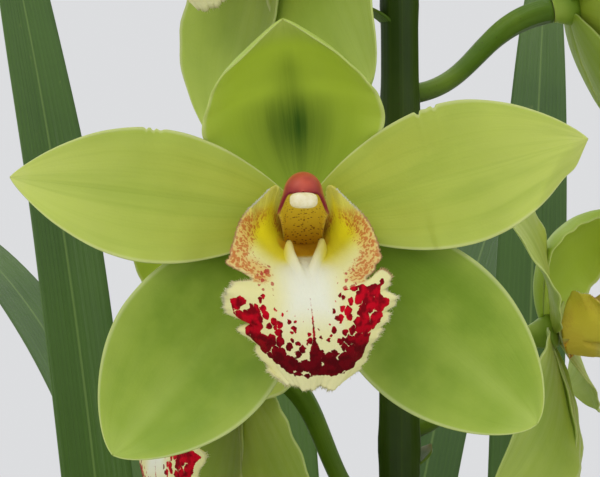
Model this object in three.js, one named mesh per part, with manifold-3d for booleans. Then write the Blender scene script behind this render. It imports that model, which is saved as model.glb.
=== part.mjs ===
// A cymbidium orchid in a plain clay pot: bark, three leafy pseudobulbs, a leafless old one,
// one upright flower spike with nine open blooms, and buds at its tip.
// Millimetres, +Z up. The origin is the middle of the pot's underside, and the front is -Y.
import * as THREE from "three";
import { mergeVertices } from "three/addons/utils/BufferGeometryUtils.js";
import Module from "manifold-3d";

const wasm = await Module();
wasm.setup();

const V = (x, y, z) => new THREE.Vector3(x, y, z);
const rad = THREE.MathUtils.degToRad;
const mix = (a, b, t) => a + (b - a) * t;
const clamp01 = (t) => Math.min(1, Math.max(0, t));
const smooth = (t) => clamp01(t) ** 2 * (3 - 2 * clamp01(t));

// Clear gap left between two pieces that touch
const GAP = 0.3;

// Pot
const POT_HEIGHT = 176;
const POT_FOOT_RADIUS = 72;
const POT_NECK_RADIUS = 94;
const POT_RIM_RADIUS = 102;
const POT_RIM_HEIGHT = 27;
const POT_WALL = 6;
const POT_FLOOR = 9;
const POT_SIDES = 26;
const DRAIN_HOLES = 3;
const DRAIN_RADIUS = 8;
const DRAIN_CIRCLE = 38;

// Bark
const BARK_LEVEL = 157;
const BARK_CHIPS = 27;
const BARK_SEED = 11;
const GOLDEN_TURN = Math.PI * (3 - Math.sqrt(5));

// Flower spike, as points of its stem from the bark up, with the stem's radius at each
const STEM = [
  { at: V(25, -27, 142), radius: 6.2 },
  { at: V(22, -32, 240), radius: 5.6 },
  { at: V(18, -36, 360), radius: 5.2 },
  { at: V(16, -38, 480), radius: 4.9 },
  { at: V(16, -38, 590), radius: 4.5 },
  { at: V(14, -40, 680), radius: 3.8 },
  { at: V(8, -47, 746), radius: 2.6 },
  { at: V(1, -58, 782), radius: 1.7 },
];

const STEM_STEPS = 16;
const STEM_SIDES = 6;
const STEM_HOLE_ROOM = 1.2;
const STEM_HOLE_SHARE = 0.1;

// Tepals of a bloom. turn is the way that one points in the face of the bloom, from the viewer's
// right and counterclockwise. lean is its tilt towards the viewer at its base and at its tip.
// widest is where along it the width peaks, and cup how far its edges curl forward, in degrees.
const CURLED = [-1, -0.42, 0.42, 1];
const FLAT = [-1, 0, 1];
const TEPALS = {
  dorsal: {
    turn: 96, length: 50, width: 43, widest: 0.42, root: 0.17, tip: 0.72, lean: [-9, 74],
    cup: [38, 62], ruffle: 0.3, back: 2.2, across: CURLED,
  },
  petalLeft: {
    turn: 172.7, length: 61, width: 29.5, widest: 0.5, root: 0.22, tip: 0.8, lean: [14, -4],
    cup: [10, 24], ruffle: 0.7, back: -0.6, across: FLAT,
  },
  petalRight: {
    turn: 14.9, length: 61, width: 31.5, widest: 0.52, root: 0.22, tip: 0.8, lean: [14, -6],
    cup: [10, 20], ruffle: 0.8, back: -0.6, across: FLAT,
  },
  sepalLeft: {
    turn: 231.6, length: 63.5, width: 38, widest: 0.55, root: 0.17, tip: 0.62, lean: [4, 14],
    cup: [14, 34], ruffle: 0.3, back: 1.4, across: CURLED,
  },
  sepalRight: {
    turn: -41.8, length: 65, width: 36, widest: 0.54, root: 0.17, tip: 0.58, lean: [4, 10],
    cup: [14, 30], ruffle: 0.3, back: 1.4, across: CURLED,
  },
};
const TEPAL_ROOT = 3.2;
const TEPAL_THICKNESS = 0.9;
const TEPAL_STEPS_ALONG = 5;

// The lip, as cross-sections from its claw to its tip. Each row is u, then four control points of
// the right half from the middle to the edge: sideways, towards the viewer, up.
const LIP_ROWS = [
  [0.0, [0, 2.2, -6.6], [3.2, 2.2, -6.6], [5.3, 2.6, -4.6], [5.1, 3.4, -0.6]],
  [0.14, [0, 8, -8.9], [6, 8, -9.3], [9.4, 7.4, -3.4], [5.5, 7.4, 6.3]],
  [0.28, [0, 12.5, -10.1], [7.2, 12.5, -10.4], [11.4, 11, -4.4], [10, 10.4, 2.6]],
  [0.41, [0, 16.2, -11.2], [8, 16.2, -11.4], [11.6, 14.8, -5.6], [13.4, 13, -1.2]],
  [0.53, [0, 19.4, -12.6], [8, 19.4, -12.7], [12, 17.6, -8.8], [15.3, 16, -6.6]],
  [0.61, [0, 21.4, -14], [7.6, 21.4, -14.1], [12, 19.6, -12], [15.6, 18.4, -10.8]],
  [0.67, [0, 22.9, -15.8], [7, 22.9, -15.8], [10.6, 21.8, -14.8], [11.8, 20.8, -13.8]],
  [0.73, [0, 24.1, -18.2], [6.4, 24.1, -18], [12, 23.2, -16.6], [16.6, 21.8, -14.9]],
  [0.81, [0, 24.9, -22.6], [6.5, 24.9, -22.5], [12.4, 23.6, -21.6], [16.9, 20.6, -20.4]],
  [0.89, [0, 24.4, -28], [5.4, 24.4, -27.9], [10, 22.8, -27.2], [13.3, 19.6, -26.2]],
  [0.95, [0, 22.8, -32.8], [4, 22.8, -32.7], [7.8, 21.6, -32.3], [10.2, 19, -31.4]],
  [1.0, [0, 20.6, -36.6], [2.2, 20.6, -36.6], [4.6, 20.3, -36.2], [6.4, 19.8, -35]],
];
const LIP_THICKNESS = 0.9;
const LIP_STEPS_ALONG = [0, 0.15, 0.28, 0.43, 0.58, 0.67, 0.76, 0.88, 1];
const LIP_STEPS_ACROSS = [-1, -0.6, -0.12, 0, 0.12, 0.6, 1];
const LIP_RUFFLE = 1;
const LIP_SWAY = 1.9;
const KEEL_HEIGHT = 3.3;
const KEEL_HALF_WIDTH = 0.85;
const KEEL_REACH = [2.5, 1.15];

// The column: towards the viewer, up, half width, height above and below its axis
const COLUMN_ROWS = [
  [2.4, -2.2, 4.0, 3.4, 3.6],
  [8, 0.2, 4.3, 3.6, 2.4],
  [14, 2.6, 4.6, 3.7, 1.8],
  [20, 4.2, 5.3, 4.0, 1.6],
  [24.5, 4.4, 5.0, 3.9, 1.3],
  [27.2, 3.9, 3.0, 2.4, 0.6],
];
const COLUMN_SIDES = 6;
const CAP_AT = V(0.1, -28.95, 2.75);
const CAP_HALF = V(2.9, 1.45, 1.65);

// The receptacle, where the tepals meet the ovary. Its flat back is the seat of the bloom.
const SEAT_BACK = 6;
const RECEPTACLE_RADIUS = 4.8;
const RECEPTACLE_SIDES = 6;
const OVARY_RADIUS = 3.1;
const PEDICEL_RADIUS = 2.3;

// Open blooms. node is the height where the stalk leaves the stem, centre the middle of the
// face. faces turns the face from -Y towards +X, nod tips it down and roll turns it in its own
// plane. open adds to the lean of the petals, the two lower sepals and the upper sepal at their
// tips, and spread draws the two lower sepals together.
const BLOOMS = [
  {
    name: "bloom_1", node: 392, centre: [-20, -20, 408], faces: -104, nod: 4, roll: 3,
    open: [-8, -6, 0], spread: 4, size: 1,
  },
  {
    name: "bloom_2", node: 418, centre: [26, -88, 436], faces: 22, nod: 3, roll: -4,
    open: [0, -8, 0], spread: 0, size: 0.98,
  },
  {
    name: "bloom_3", node: 474, centre: [-24, -18, 509], faces: -62, nod: 4, roll: -8,
    open: [-14, -6, 0], spread: 8, size: 0.98,
  },
  {
    name: "bloom_4", node: 497, centre: [55, -12, 520], faces: 81, nod: -16, roll: 31,
    open: [-18, -60, 50], spread: 15, size: 0.95,
  },
  {
    name: "bloom_5", node: 530, centre: [-7, -86, 548], faces: 0, nod: 0, roll: 0,
    open: [0, 0, 0], spread: 0, size: 1,
  },
  {
    name: "bloom_6", node: 577, centre: [60, -16, 600], faces: 96, nod: -10, roll: -20,
    open: [20, 34, 16], spread: 0, size: 0.97,
  },
  {
    name: "bloom_7", node: 602, centre: [-15, -50, 631], faces: -53, nod: 0, roll: -6,
    open: [-8, -10, 0], spread: 18, size: 1,
  },
  {
    name: "bloom_8", node: 662, centre: [-21, -8, 694], faces: -132, nod: -6, roll: 4,
    open: [-8, -10, 0], spread: 4, size: 0.93,
  },
  {
    name: "bloom_9", node: 680, centre: [42, -68, 706], faces: 50, nod: -6, roll: -4,
    open: [-4, -8, 0], spread: 3, size: 0.92,
  },
];

// Buds near the tip: node height, middle of the bud, half length and half width
const BUDS = [
  { node: 716, centre: [-24, -62, 736], half: [21, 9] },
  { node: 740, centre: [32, -58, 764], half: [18, 7.6] },
  { node: 760, centre: [-12, -80, 784], half: [15, 6.2] },
  { node: 776, centre: [4, -66, 804], half: [12, 4.8] },
];
const BRACT_REACH = 5.5;
const BRACT_RISE = 4;
// How far a stalk's first handle lies from the stem and above it, as shares of the stalk
const STALK_LEAVES = [0.45, 0.02];
const STALK_ARRIVES = 0.4;

// Sheaths that wrap the bare lower part of the stem: foot height, length, the way they open
const SHEATHS = [
  { foot: 170, length: 66, opens: 200 },
  { foot: 228, length: 62, opens: 20 },
  { foot: 290, length: 52, opens: 190 },
];

// Pseudobulbs: place on the bark, height, radius, and the leaves of each. A leaf is its compass
// direction from +X towards +Y, length, lean from upright at base and tip, twist and width.
const GROWTHS = [
  {
    name: "1", at: [-44, 6], height: 74, radius: 23,
    leaves: [
      { toward: 186, length: 430, lean: [18, 128], twist: 8, width: 22 },
      { toward: 216, length: 380, lean: [22, 112], twist: -12, width: 21 },
      { toward: 164, length: 490, lean: [12, 92], twist: 14, width: 23 },
      { toward: 146, length: 520, lean: [7, 64], twist: -10, width: 22 },
      { toward: 112, length: 520, lean: [3, 40], twist: 18, width: 22 },
      { toward: 60, length: 190, lean: [9, 34], twist: 6, width: 18 },
    ],
  },
  {
    name: "2", at: [48, 22], height: 72, radius: 22,
    leaves: [
      { toward: -6, length: 430, lean: [18, 126], twist: -8, width: 22 },
      { toward: -32, length: 370, lean: [23, 116], twist: 12, width: 21 },
      { toward: 18, length: 500, lean: [11, 88], twist: -14, width: 23 },
      { toward: 40, length: 520, lean: [7, 58], twist: 10, width: 22 },
      { toward: 84, length: 500, lean: [4, 50], twist: -16, width: 22 },
      { toward: 200, length: 170, lean: [8, 36], twist: -6, width: 18 },
    ],
  },
  {
    name: "3", at: [-2, 50], height: 68, radius: 21,
    leaves: [
      { toward: 92, length: 430, lean: [18, 120], twist: 8, width: 22 },
      { toward: 122, length: 490, lean: [10, 84], twist: -12, width: 22 },
      { toward: 70, length: 500, lean: [9, 74], twist: 12, width: 22 },
      { toward: 104, length: 520, lean: [4, 40], twist: -6, width: 22 },
    ],
  },
  { name: "4", at: [-22, -44], height: 56, radius: 20, leaves: [] },
];
const BULB_SUNK = 20;
const BULB_SIDES = 12;
// Radius and height along a pseudobulb, as shares of its own
const BULB_SHAPE = [
  [0, 0], [0.55, 0], [0.86, 0.14], [1, 0.36], [0.93, 0.58], [0.72, 0.78], [0.42, 0.93], [0, 1],
];
const COLLAR = 1.6;
const LEAF_THICKNESS = 1.2;
const LEAF_STEPS = 8;
const LEAF_LINE_STEPS = 40;
const LEAF_FOLD = [62, 13];

// A closed mesh's shared vertices are merged, and it becomes a solid that can be cut and joined.
function solidOf(geometry) {
  const bare = geometry.clone();
  for (const name of Object.keys(bare.attributes)) {
    if (name !== "position") bare.deleteAttribute(name);
  }
  const merged = mergeVertices(bare, 1e-4);
  return new wasm.Manifold(
    new wasm.Mesh({
      numProp: 3,
      vertProperties: new Float32Array(merged.attributes.position.array),
      triVerts: new Uint32Array(merged.index.array),
    }),
  );
}

function geometryOf(solid) {
  const mesh = solid.getMesh();
  const geometry = new THREE.BufferGeometry();
  geometry.setAttribute("position", new THREE.BufferAttribute(mesh.vertProperties, 3));
  geometry.setIndex(new THREE.BufferAttribute(mesh.triVerts, 1));
  geometry.computeVertexNormals();
  return geometry;
}

const joined = (solids) => solids.reduce((all, next) => all.add(next));

// The largest body of a solid, without the loose scraps that a cut can leave.
function mainBody(solid) {
  return solid.decompose().sort((a, b) => b.volume() - a.volume())[0];
}

function closedGeometry(points, faces) {
  const geometry = new THREE.BufferGeometry();
  const numbers = points.flatMap((p) => [p.x, p.y, p.z]);
  geometry.setAttribute("position", new THREE.Float32BufferAttribute(numbers, 3));
  geometry.setIndex(faces.flat());
  return geometry;
}

// A blade: the surface point(u, v) thickened to both sides, with its rim closed. us and vs are the
// steps along and across it, and both faces are split into the same triangles.
function blade(point, us, vs, thickness) {
  const rows = us.length;
  const columns = vs.length;
  const step = 1e-3;
  const pushed = (u, v, side) => {
    const alongU = point(Math.min(1, u + step), v).sub(point(Math.max(0, u - step), v));
    const alongV = point(u, Math.min(1, v + step)).sub(point(u, Math.max(-1, v - step)));
    return point(u, v).addScaledVector(alongU.cross(alongV).normalize(), (side * thickness) / 2);
  };
  const faceOf = (side) => us.flatMap((u) => vs.map((v) => pushed(u, v, side)));
  const points = [...faceOf(1), ...faceOf(-1)];
  const at = (side, i, j) => side * rows * columns + i * columns + j;
  const faces = [];
  for (let i = 0; i < rows - 1; i++) {
    for (let j = 0; j < columns - 1; j++) {
      const [a, b, c, d] = [[i, j], [i + 1, j], [i + 1, j + 1], [i, j + 1]];
      faces.push([at(0, ...a), at(0, ...b), at(0, ...c)], [at(0, ...a), at(0, ...c), at(0, ...d)]);
      faces.push([at(1, ...a), at(1, ...c), at(1, ...b)], [at(1, ...a), at(1, ...d), at(1, ...c)]);
    }
  }
  const rim = [];
  for (let j = 0; j < columns - 1; j++) rim.push([0, j]);
  for (let i = 0; i < rows - 1; i++) rim.push([i, columns - 1]);
  for (let j = columns - 1; j > 0; j--) rim.push([rows - 1, j]);
  for (let i = rows - 1; i > 0; i--) rim.push([i, 0]);
  rim.forEach((here, k) => {
    const next = rim[(k + 1) % rim.length];
    faces.push([at(0, ...here), at(0, ...next), at(1, ...next)]);
    faces.push([at(0, ...here), at(1, ...next), at(1, ...here)]);
  });
  return outward(closedGeometry(points, faces));
}

// A body through rings of points, each with as many points, closed by a fan at both ends.
function loft(rings) {
  const sides = rings[0].length;
  const middle = (ring) => ring.reduce((sum, p) => sum.add(p), V(0, 0, 0)).divideScalar(sides);
  const points = [...rings.flat(), middle(rings[0]), middle(rings.at(-1))];
  const faces = [];
  const last = (rings.length - 1) * sides;
  for (let k = 0; k < sides; k++) {
    const next = (k + 1) % sides;
    for (let i = 0; i < rings.length - 1; i++) {
      const [a, b] = [i * sides, (i + 1) * sides];
      faces.push([a + k, a + next, b + next], [a + k, b + next, b + k]);
    }
    faces.push([last + sides, next, k], [last + sides + 1, last + k, last + next]);
  }
  return outward(closedGeometry(points, faces));
}

// Turns a closed solid's faces outward, whichever way its points were listed.
function outward(geometry) {
  const p = geometry.attributes.position;
  const index = geometry.index.array;
  const corner = (k) => V(p.getX(index[k]), p.getY(index[k]), p.getZ(index[k]));
  let volume = 0;
  for (let i = 0; i < index.length; i += 3) {
    volume += corner(i).dot(corner(i + 1).cross(corner(i + 2)));
  }
  if (volume > 0) return geometry;
  for (let i = 0; i < index.length; i += 3) {
    [index[i + 1], index[i + 2]] = [index[i + 2], index[i + 1]];
  }
  return geometry;
}

// A round rod along a curve, with radiusAt(t) and a given number of sides.
function rod(curve, radiusAt, steps, sides) {
  const frames = curve.computeFrenetFrames(steps);
  const rings = [];
  for (let i = 0; i <= steps; i++) {
    const t = i / steps;
    rings.push(ringAround(curve.getPoint(t), frames.normals[i], frames.binormals[i], radiusAt(t), sides));
  }
  return loft(rings);
}

function ringAround(centre, one, two, radius, sides) {
  return Array.from({ length: sides }, (_, k) => {
    const turn = (2 * Math.PI * k) / sides;
    const [along, across] = [radius * Math.cos(turn), radius * Math.sin(turn)];
    return centre.clone().addScaledVector(one, along).addScaledVector(two, across);
  });
}

function turned(profile, sides) {
  return new THREE.LatheGeometry(profile.map(([r, z]) => new THREE.Vector2(r, z)), sides);
}

// A lathe turns about Y, and this lays its axis along Z.
const upright = (geometry) => outward(geometry.rotateX(Math.PI / 2));

function evenSteps(count, from = 0, to = 1) {
  return Array.from({ length: count + 1 }, (_, k) => mix(from, to, k / count));
}

// Half width of a tepal at u, as a share of its widest: a quarter sine out, a blunt power in.
function tepalShare(t, u) {
  if (u < t.widest) return mix(t.root, 1, Math.sin((Math.PI / 2) * (u / t.widest)) ** 0.85);
  return Math.max(0.05, Math.cos((Math.PI / 2) * ((u - t.widest) / (1 - t.widest))) ** t.tip);
}

// A tepal's surface: an arc that leans more and more, with a section that curls by its cup.
function tepalPoint(t, u, v) {
  const now = rad(mix(t.lean[0], t.lean[1], u));
  const halfway = (rad(t.lean[0]) + now) / 2;
  const halfTurn = (now - rad(t.lean[0])) / 2;
  const chord = t.length * u * (Math.abs(halfTurn) > 1e-6 ? Math.sin(halfTurn) / halfTurn : 1);
  const out = TEPAL_ROOT + chord * Math.cos(halfway);
  const forward = chord * Math.sin(halfway);
  const half = (t.width / 2) * tepalShare(t, u);
  const cup = rad(mix(t.cup[0], t.cup[1], u));
  const lateral = (half * Math.sin(cup * v)) / cup;
  const phase = v > 0 ? 0.15 : 0.6;
  const edge = Math.abs(v) ** 3 * Math.sin(Math.PI * u);
  const wave = t.ruffle * Math.sin(2 * Math.PI * (2.2 * u + phase)) * edge;
  const lift = (half * (1 - Math.cos(cup * v))) / cup + wave;
  const [e, s] = [rad(t.turn), rad(t.turn + 90)];
  const radial = out - lift * Math.sin(now);
  const toViewer = forward + lift * Math.cos(now);
  return V(
    radial * Math.cos(e) + lateral * Math.cos(s),
    t.back - toViewer,
    radial * Math.sin(e) + lateral * Math.sin(s),
  );
}

// A smooth value through the rows' numbers at u, by Catmull-Rom over uneven steps.
function alongRows(rows, u, read) {
  let i = rows.findIndex((row) => u <= row[0]);
  i = Math.min(rows.length - 1, Math.max(1, i < 0 ? rows.length - 1 : i));
  const [a, b] = [rows[i - 1], rows[i]];
  const [before, after] = [rows[Math.max(0, i - 2)], rows[Math.min(rows.length - 1, i + 1)]];
  const span = b[0] - a[0];
  const t = clamp01((u - a[0]) / span);
  const slopeA = ((read(b) - read(before)) / (b[0] - before[0])) * span;
  const slopeB = ((read(after) - read(a)) / (after[0] - a[0])) * span;
  return (
    read(a) * (2 * t ** 3 - 3 * t ** 2 + 1) + slopeA * (t ** 3 - 2 * t ** 2 + t) +
    read(b) * (3 * t ** 2 - 2 * t ** 3) + slopeB * (t ** 3 - t ** 2)
  );
}

// The lip's surface: a Bezier section from the middle to each edge, with a ruffled edge, and a
// middle lobe that sits a little to one side. Two keels on its floor stand highest near the
// column, and draw together as they sink.
function lipPoint(u, v) {
  const w = Math.abs(v);
  const weights = [(1 - w) ** 3, 3 * w * (1 - w) ** 2, 3 * w ** 2 * (1 - w), w ** 3];
  const section = (axis) =>
    weights.reduce((sum, k, n) => sum + k * alongRows(LIP_ROWS, u, (row) => row[n + 1][axis]), 0);
  const reach = mix(...KEEL_REACH, smooth((u - 0.2) / 0.4));
  const ridge = Math.exp(-(Math.abs((section(0) - reach) / KEEL_HALF_WIDTH) ** 2.6));
  const keel = KEEL_HEIGHT * ridge * smooth((u - 0.16) / 0.05) * (1 - smooth((u - 0.22) / 0.42));
  const phase = v > 0 ? 0.1 : 0.55;
  const wave = LIP_RUFFLE * w ** 4 * smooth((u - 0.6) / 0.15) * Math.sin(2 * Math.PI * (4.5 * u + phase));
  const sway = LIP_SWAY * smooth((u - 0.3) / 0.6);
  return V(Math.sign(v) * section(0) + sway, -(section(1) + wave), section(2) + keel);
}

// The column's rings, grown by extra on all sides.
function column(extra) {
  const rings = COLUMN_ROWS.map(([forward, up, half, above, below], i) => {
    const end = i === 0 ? extra : i === COLUMN_ROWS.length - 1 ? -extra : 0;
    return Array.from({ length: COLUMN_SIDES }, (_, k) => {
      const turn = (2 * Math.PI * (k + 0.5)) / COLUMN_SIDES;
      const high = Math.sin(turn) > 0 ? above : below;
      return V((half + extra) * Math.cos(turn), -forward + end, up + (high + extra) * Math.sin(turn));
    });
  });
  return solidOf(loft(rings));
}

function tepals(shapes, extra) {
  const thickness = TEPAL_THICKNESS + 2 * extra;
  const blades = shapes.map((t) =>
    solidOf(blade((u, v) => tepalPoint(t, u, v), evenSteps(TEPAL_STEPS_ALONG), t.across, thickness)),
  );
  const seat = SEAT_BACK + (extra ? 1 : 0);
  const wide = RECEPTACLE_RADIUS + extra;
  const profile = [
    [0, -1.6 - extra],
    [wide, -0.6 - extra],
    [wide, 1.8],
    [OVARY_RADIUS + extra, seat],
    [0, seat],
  ];
  const receptacle = solidOf(outward(turned(profile, RECEPTACLE_SIDES)));
  return joined([...blades, receptacle]);
}

// One bloom in its own frame: X to the viewer's right, Y away from the viewer, Z up.
function bloom(b) {
  const opened = (t, change, turn = 0) => {
    return { ...t, turn: t.turn + turn, lean: [t.lean[0], t.lean[1] + change] };
  };
  const [petals, sepals, dorsal] = b.open;
  const shapes = [
    opened(TEPALS.dorsal, dorsal),
    opened(TEPALS.petalLeft, petals),
    opened(TEPALS.petalRight, petals),
    opened(TEPALS.sepalLeft, sepals, b.spread),
    opened(TEPALS.sepalRight, sepals, -b.spread),
  ];
  const cleared = tepals(shapes, GAP);
  const grownColumn = column(GAP);
  const lip = solidOf(blade(lipPoint, LIP_STEPS_ALONG, LIP_STEPS_ACROSS, LIP_THICKNESS));
  const cap = new THREE.SphereGeometry(1, 6, 4).scale(...CAP_HALF).translate(...CAP_AT);
  const group = new THREE.Group();
  group.position.set(...b.centre);
  group.rotation.set(rad(b.nod), rad(b.roll), rad(b.faces), "ZXY");
  group.scale.setScalar(b.size);
  group.add(
    piece(`${b.name}_tepals`, tepals(shapes, 0), MATERIALS.tepal),
    piece(`${b.name}_lip`, mainBody(lip.subtract(cleared).subtract(grownColumn)), MATERIALS.lip),
    piece(`${b.name}_column`, mainBody(column(0).subtract(cleared)), MATERIALS.column),
    piece(`${b.name}_anther_cap`, solidOf(cap), MATERIALS.cap),
  );
  return group;
}

function stemCurve() {
  return new THREE.CatmullRomCurve3(STEM.map((s) => s.at));
}

// The stem's middle and radius at a height.
function stemAt(z) {
  const i = Math.max(1, STEM.findIndex((s) => s.at.z >= z));
  const [a, b] = [STEM[i - 1], STEM[i]];
  const t = (z - a.at.z) / (b.at.z - a.at.z);
  return { at: a.at.clone().lerp(b.at, t), radius: mix(a.radius, b.radius, t) };
}

// A stalk from the stem to a seat, leaving the stem outward and meeting the seat along `back`.
function stalk(node, seat, back, seatRadius) {
  const from = stemAt(node).at;
  const away = V(seat.x - from.x, seat.y - from.y, 0).normalize();
  const length = seat.distanceTo(from);
  const [out, up] = STALK_LEAVES;
  const first = from.clone().addScaledVector(away, length * out).add(V(0, 0, length * up));
  const second = seat.clone().addScaledVector(back, length * STALK_ARRIVES);
  const curve = new THREE.CubicBezierCurve3(from, first, second, seat);
  return solidOf(rod(curve, (t) => mix(PEDICEL_RADIUS, seatRadius, smooth(t * 1.2 - 0.2)), 4, 5));
}

// A small pointed bract that cradles a stalk where it leaves the stem.
function bract(node, outwardTurn) {
  const { at, radius } = stemAt(node - 8);
  const point = (u, v) => {
    const turn = outwardTurn + v * 0.8 * (1 - u * 0.92);
    const reach = radius - 0.8 + u * BRACT_REACH;
    return V(at.x + reach * Math.cos(turn), at.y + reach * Math.sin(turn), at.z + u * BRACT_RISE);
  };
  return solidOf(blade(point, evenSteps(1), evenSteps(2, -1, 1), 0.8));
}

// A sheath wrapped round the stem, open down one side and ending in a point.
function sheath(s) {
  const point = (u, v) => {
    const { at, radius } = stemAt(s.foot + u * s.length);
    const turn = rad(s.opens + 180) + v * Math.PI * 0.86 * (1 - smooth(u * 1.25 - 0.25) * 0.93);
    const reach = radius - 0.4 + 1.1 * smooth(u * 4) + 1.6 * u * u;
    return V(at.x + reach * Math.cos(turn), at.y + reach * Math.sin(turn), at.z);
  };
  return solidOf(blade(point, evenSteps(3), evenSteps(5, -1, 1), 0.9));
}

function bud(b) {
  const [halfLength, halfWidth] = b.half;
  const from = stemAt(b.node).at;
  const centre = V(...b.centre);
  const axis = centre.clone().sub(from).normalize().add(V(0, 0, 0.35)).normalize();
  const side = V(0, 0, 1).cross(axis).normalize();
  const other = axis.clone().cross(side);
  const rings = evenSteps(5).map((t) => {
    const turn = mix(-0.46, 0.47, t) * Math.PI;
    const middle = centre.clone().addScaledVector(axis, halfLength * Math.sin(turn));
    return ringAround(middle, side, other, halfWidth * Math.cos(turn) ** 0.9, 6);
  });
  const foot = centre.clone().addScaledVector(axis, -halfLength * 0.9);
  return solidOf(loft(rings)).add(stalk(b.node, foot, axis.clone().negate(), PEDICEL_RADIUS * 0.9));
}

function spike() {
  const curve = stemCurve();
  const top = STEM.at(-1).at.z - 0.01;
  const radiusAt = (t) => stemAt(Math.min(curve.getPoint(t).z, top)).radius;
  const parts = [solidOf(rod(curve, radiusAt, STEM_STEPS, STEM_SIDES))];
  for (const b of BLOOMS) {
    const back = V(0, 1, 0).applyEuler(new THREE.Euler(rad(b.nod), rad(b.roll), rad(b.faces), "ZXY"));
    const seat = V(...b.centre).addScaledVector(back, SEAT_BACK * b.size + GAP);
    parts.push(stalk(b.node, seat, back, OVARY_RADIUS * b.size));
    const from = stemAt(b.node).at;
    parts.push(bract(b.node, Math.atan2(seat.y - from.y, seat.x - from.x)));
  }
  parts.push(...BUDS.map(bud), ...SHEATHS.map(sheath));
  return mainBody(joined(parts));
}

// A pseudobulb turned from its profile, grown by extra on all sides.
function bulb(g, extra) {
  const foot = BARK_LEVEL - BULB_SUNK - extra;
  const height = g.height + 2 * extra;
  const profile = BULB_SHAPE.map(([r, z]) => [r ? r * g.radius + extra : 0, foot + z * height]);
  return solidOf(upright(turned(profile, BULB_SIDES)).translate(g.at[0], g.at[1], 0));
}

// The middle line of a leaf as distance out, height and lean, in steps of equal length.
function leafLine(l) {
  const steps = LEAF_LINE_STEPS;
  const line = [{ out: 0, up: 0, lean: rad(l.lean[0]) }];
  for (let i = 1; i <= steps; i++) {
    const lean = rad(mix(l.lean[0], l.lean[1], (i / steps) ** 1.45));
    const before = line.at(-1);
    line.push({
      out: before.out + (l.length / steps) * Math.sin(lean),
      up: before.up + (l.length / steps) * Math.cos(lean),
      lean,
    });
  }
  return line;
}

function leafShare(u) {
  const tip = clamp01((u - 0.6) / 0.4);
  return mix(0.5, 1, smooth(u / 0.3)) * Math.max(0.04, (1 - tip ** 2.2) ** 0.85);
}

// A leaf's surface: a strap with a fold along its middle that opens towards the tip.
function leafPoint(l, line, base, u, v) {
  const k = Math.min(line.length - 2, Math.floor(u * (line.length - 1)));
  const t = u * (line.length - 1) - k;
  const lean = mix(line[k].lean, line[k + 1].lean, t);
  const out = mix(line[k].out, line[k + 1].out, t);
  const up = mix(line[k].up, line[k + 1].up, t);
  const half = (l.width / 2) * leafShare(u);
  const fold = rad(mix(LEAF_FOLD[0], LEAF_FOLD[1], smooth(u / 0.45)));
  const twist = rad(l.twist) * u;
  const flat = half * v * Math.cos(fold);
  const raised = half * (Math.sqrt(v * v + 0.02) - Math.sqrt(0.02)) * Math.sin(fold);
  const lateral = flat * Math.cos(twist) - raised * Math.sin(twist) + l.twist * 0.0011 * l.length * u * u;
  const lift = flat * Math.sin(twist) + raised * Math.cos(twist);
  const radial = out - lift * Math.cos(lean);
  const turn = rad(l.toward);
  return V(
    base.x + radial * Math.cos(turn) - lateral * Math.sin(turn),
    base.y + radial * Math.sin(turn) + lateral * Math.cos(turn),
    base.z + up + lift * Math.sin(lean),
  );
}

// The leaves of one growth, joined by the collar of sheaths that wraps its bulb.
function leaves(g) {
  const top = BARK_LEVEL - BULB_SUNK + g.height;
  const collarProfile = [
    [0, top - 0.5 * g.height],
    [g.radius + COLLAR, top - 0.5 * g.height],
    [g.radius * 0.8 + COLLAR, top - 0.24 * g.height],
    [g.radius * 0.52 + COLLAR, top - 2],
    [g.radius * 0.4, top + 16],
    [0, top + 16],
  ];
  const collar = solidOf(upright(turned(collarProfile, BULB_SIDES)).translate(g.at[0], g.at[1], 0));
  const straps = g.leaves.map((l) => {
    const turn = rad(l.toward);
    const base = V(g.at[0] + 4 * Math.cos(turn), g.at[1] + 4 * Math.sin(turn), top + 1);
    const line = leafLine(l);
    const point = (u, v) => leafPoint(l, line, base, u, v);
    return solidOf(blade(point, evenSteps(LEAF_STEPS), [-1, 0, 1], LEAF_THICKNESS));
  });
  return mainBody(joined([collar, ...straps]).subtract(bulb(g, GAP)));
}

// A clay pot turned in one profile, with drain holes through its floor.
function pot() {
  const rimFoot = POT_HEIGHT - POT_RIM_HEIGHT;
  const mouth = potInnerRadius(POT_HEIGHT);
  const profile = [
    [0, 0],
    [POT_FOOT_RADIUS - 2, 0],
    [POT_FOOT_RADIUS, 2],
    [POT_NECK_RADIUS, rimFoot],
    [POT_RIM_RADIUS - 2, rimFoot],
    [POT_RIM_RADIUS, rimFoot + 2],
    [POT_RIM_RADIUS + 1, POT_HEIGHT - 2],
    [POT_RIM_RADIUS - 1, POT_HEIGHT],
    [mouth + 2, POT_HEIGHT],
    [mouth, POT_HEIGHT - 2],
    [potInnerRadius(POT_FLOOR), POT_FLOOR],
    [0, POT_FLOOR],
  ];
  const body = solidOf(upright(turned(profile, POT_SIDES)));
  const holes = Array.from({ length: DRAIN_HOLES }, (_, k) => {
    const turn = (2 * Math.PI * (k + 0.25)) / DRAIN_HOLES;
    const hole = new THREE.CylinderGeometry(DRAIN_RADIUS, DRAIN_RADIUS, 3 * POT_FLOOR, 8);
    hole.rotateX(Math.PI / 2).translate(DRAIN_CIRCLE * Math.cos(turn), DRAIN_CIRCLE * Math.sin(turn), 0);
    return solidOf(hole);
  });
  return body.subtract(joined(holes));
}

function potInnerRadius(z) {
  return mix(POT_FOOT_RADIUS, POT_NECK_RADIUS, z / (POT_HEIGHT - POT_RIM_HEIGHT)) - POT_WALL;
}

// A small repeatable random draw between 0 and 1.
function seeded(seed) {
  let state = seed;
  return () => {
    state = (state * 16807) % 2147483647;
    return state / 2147483647;
  };
}

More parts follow.
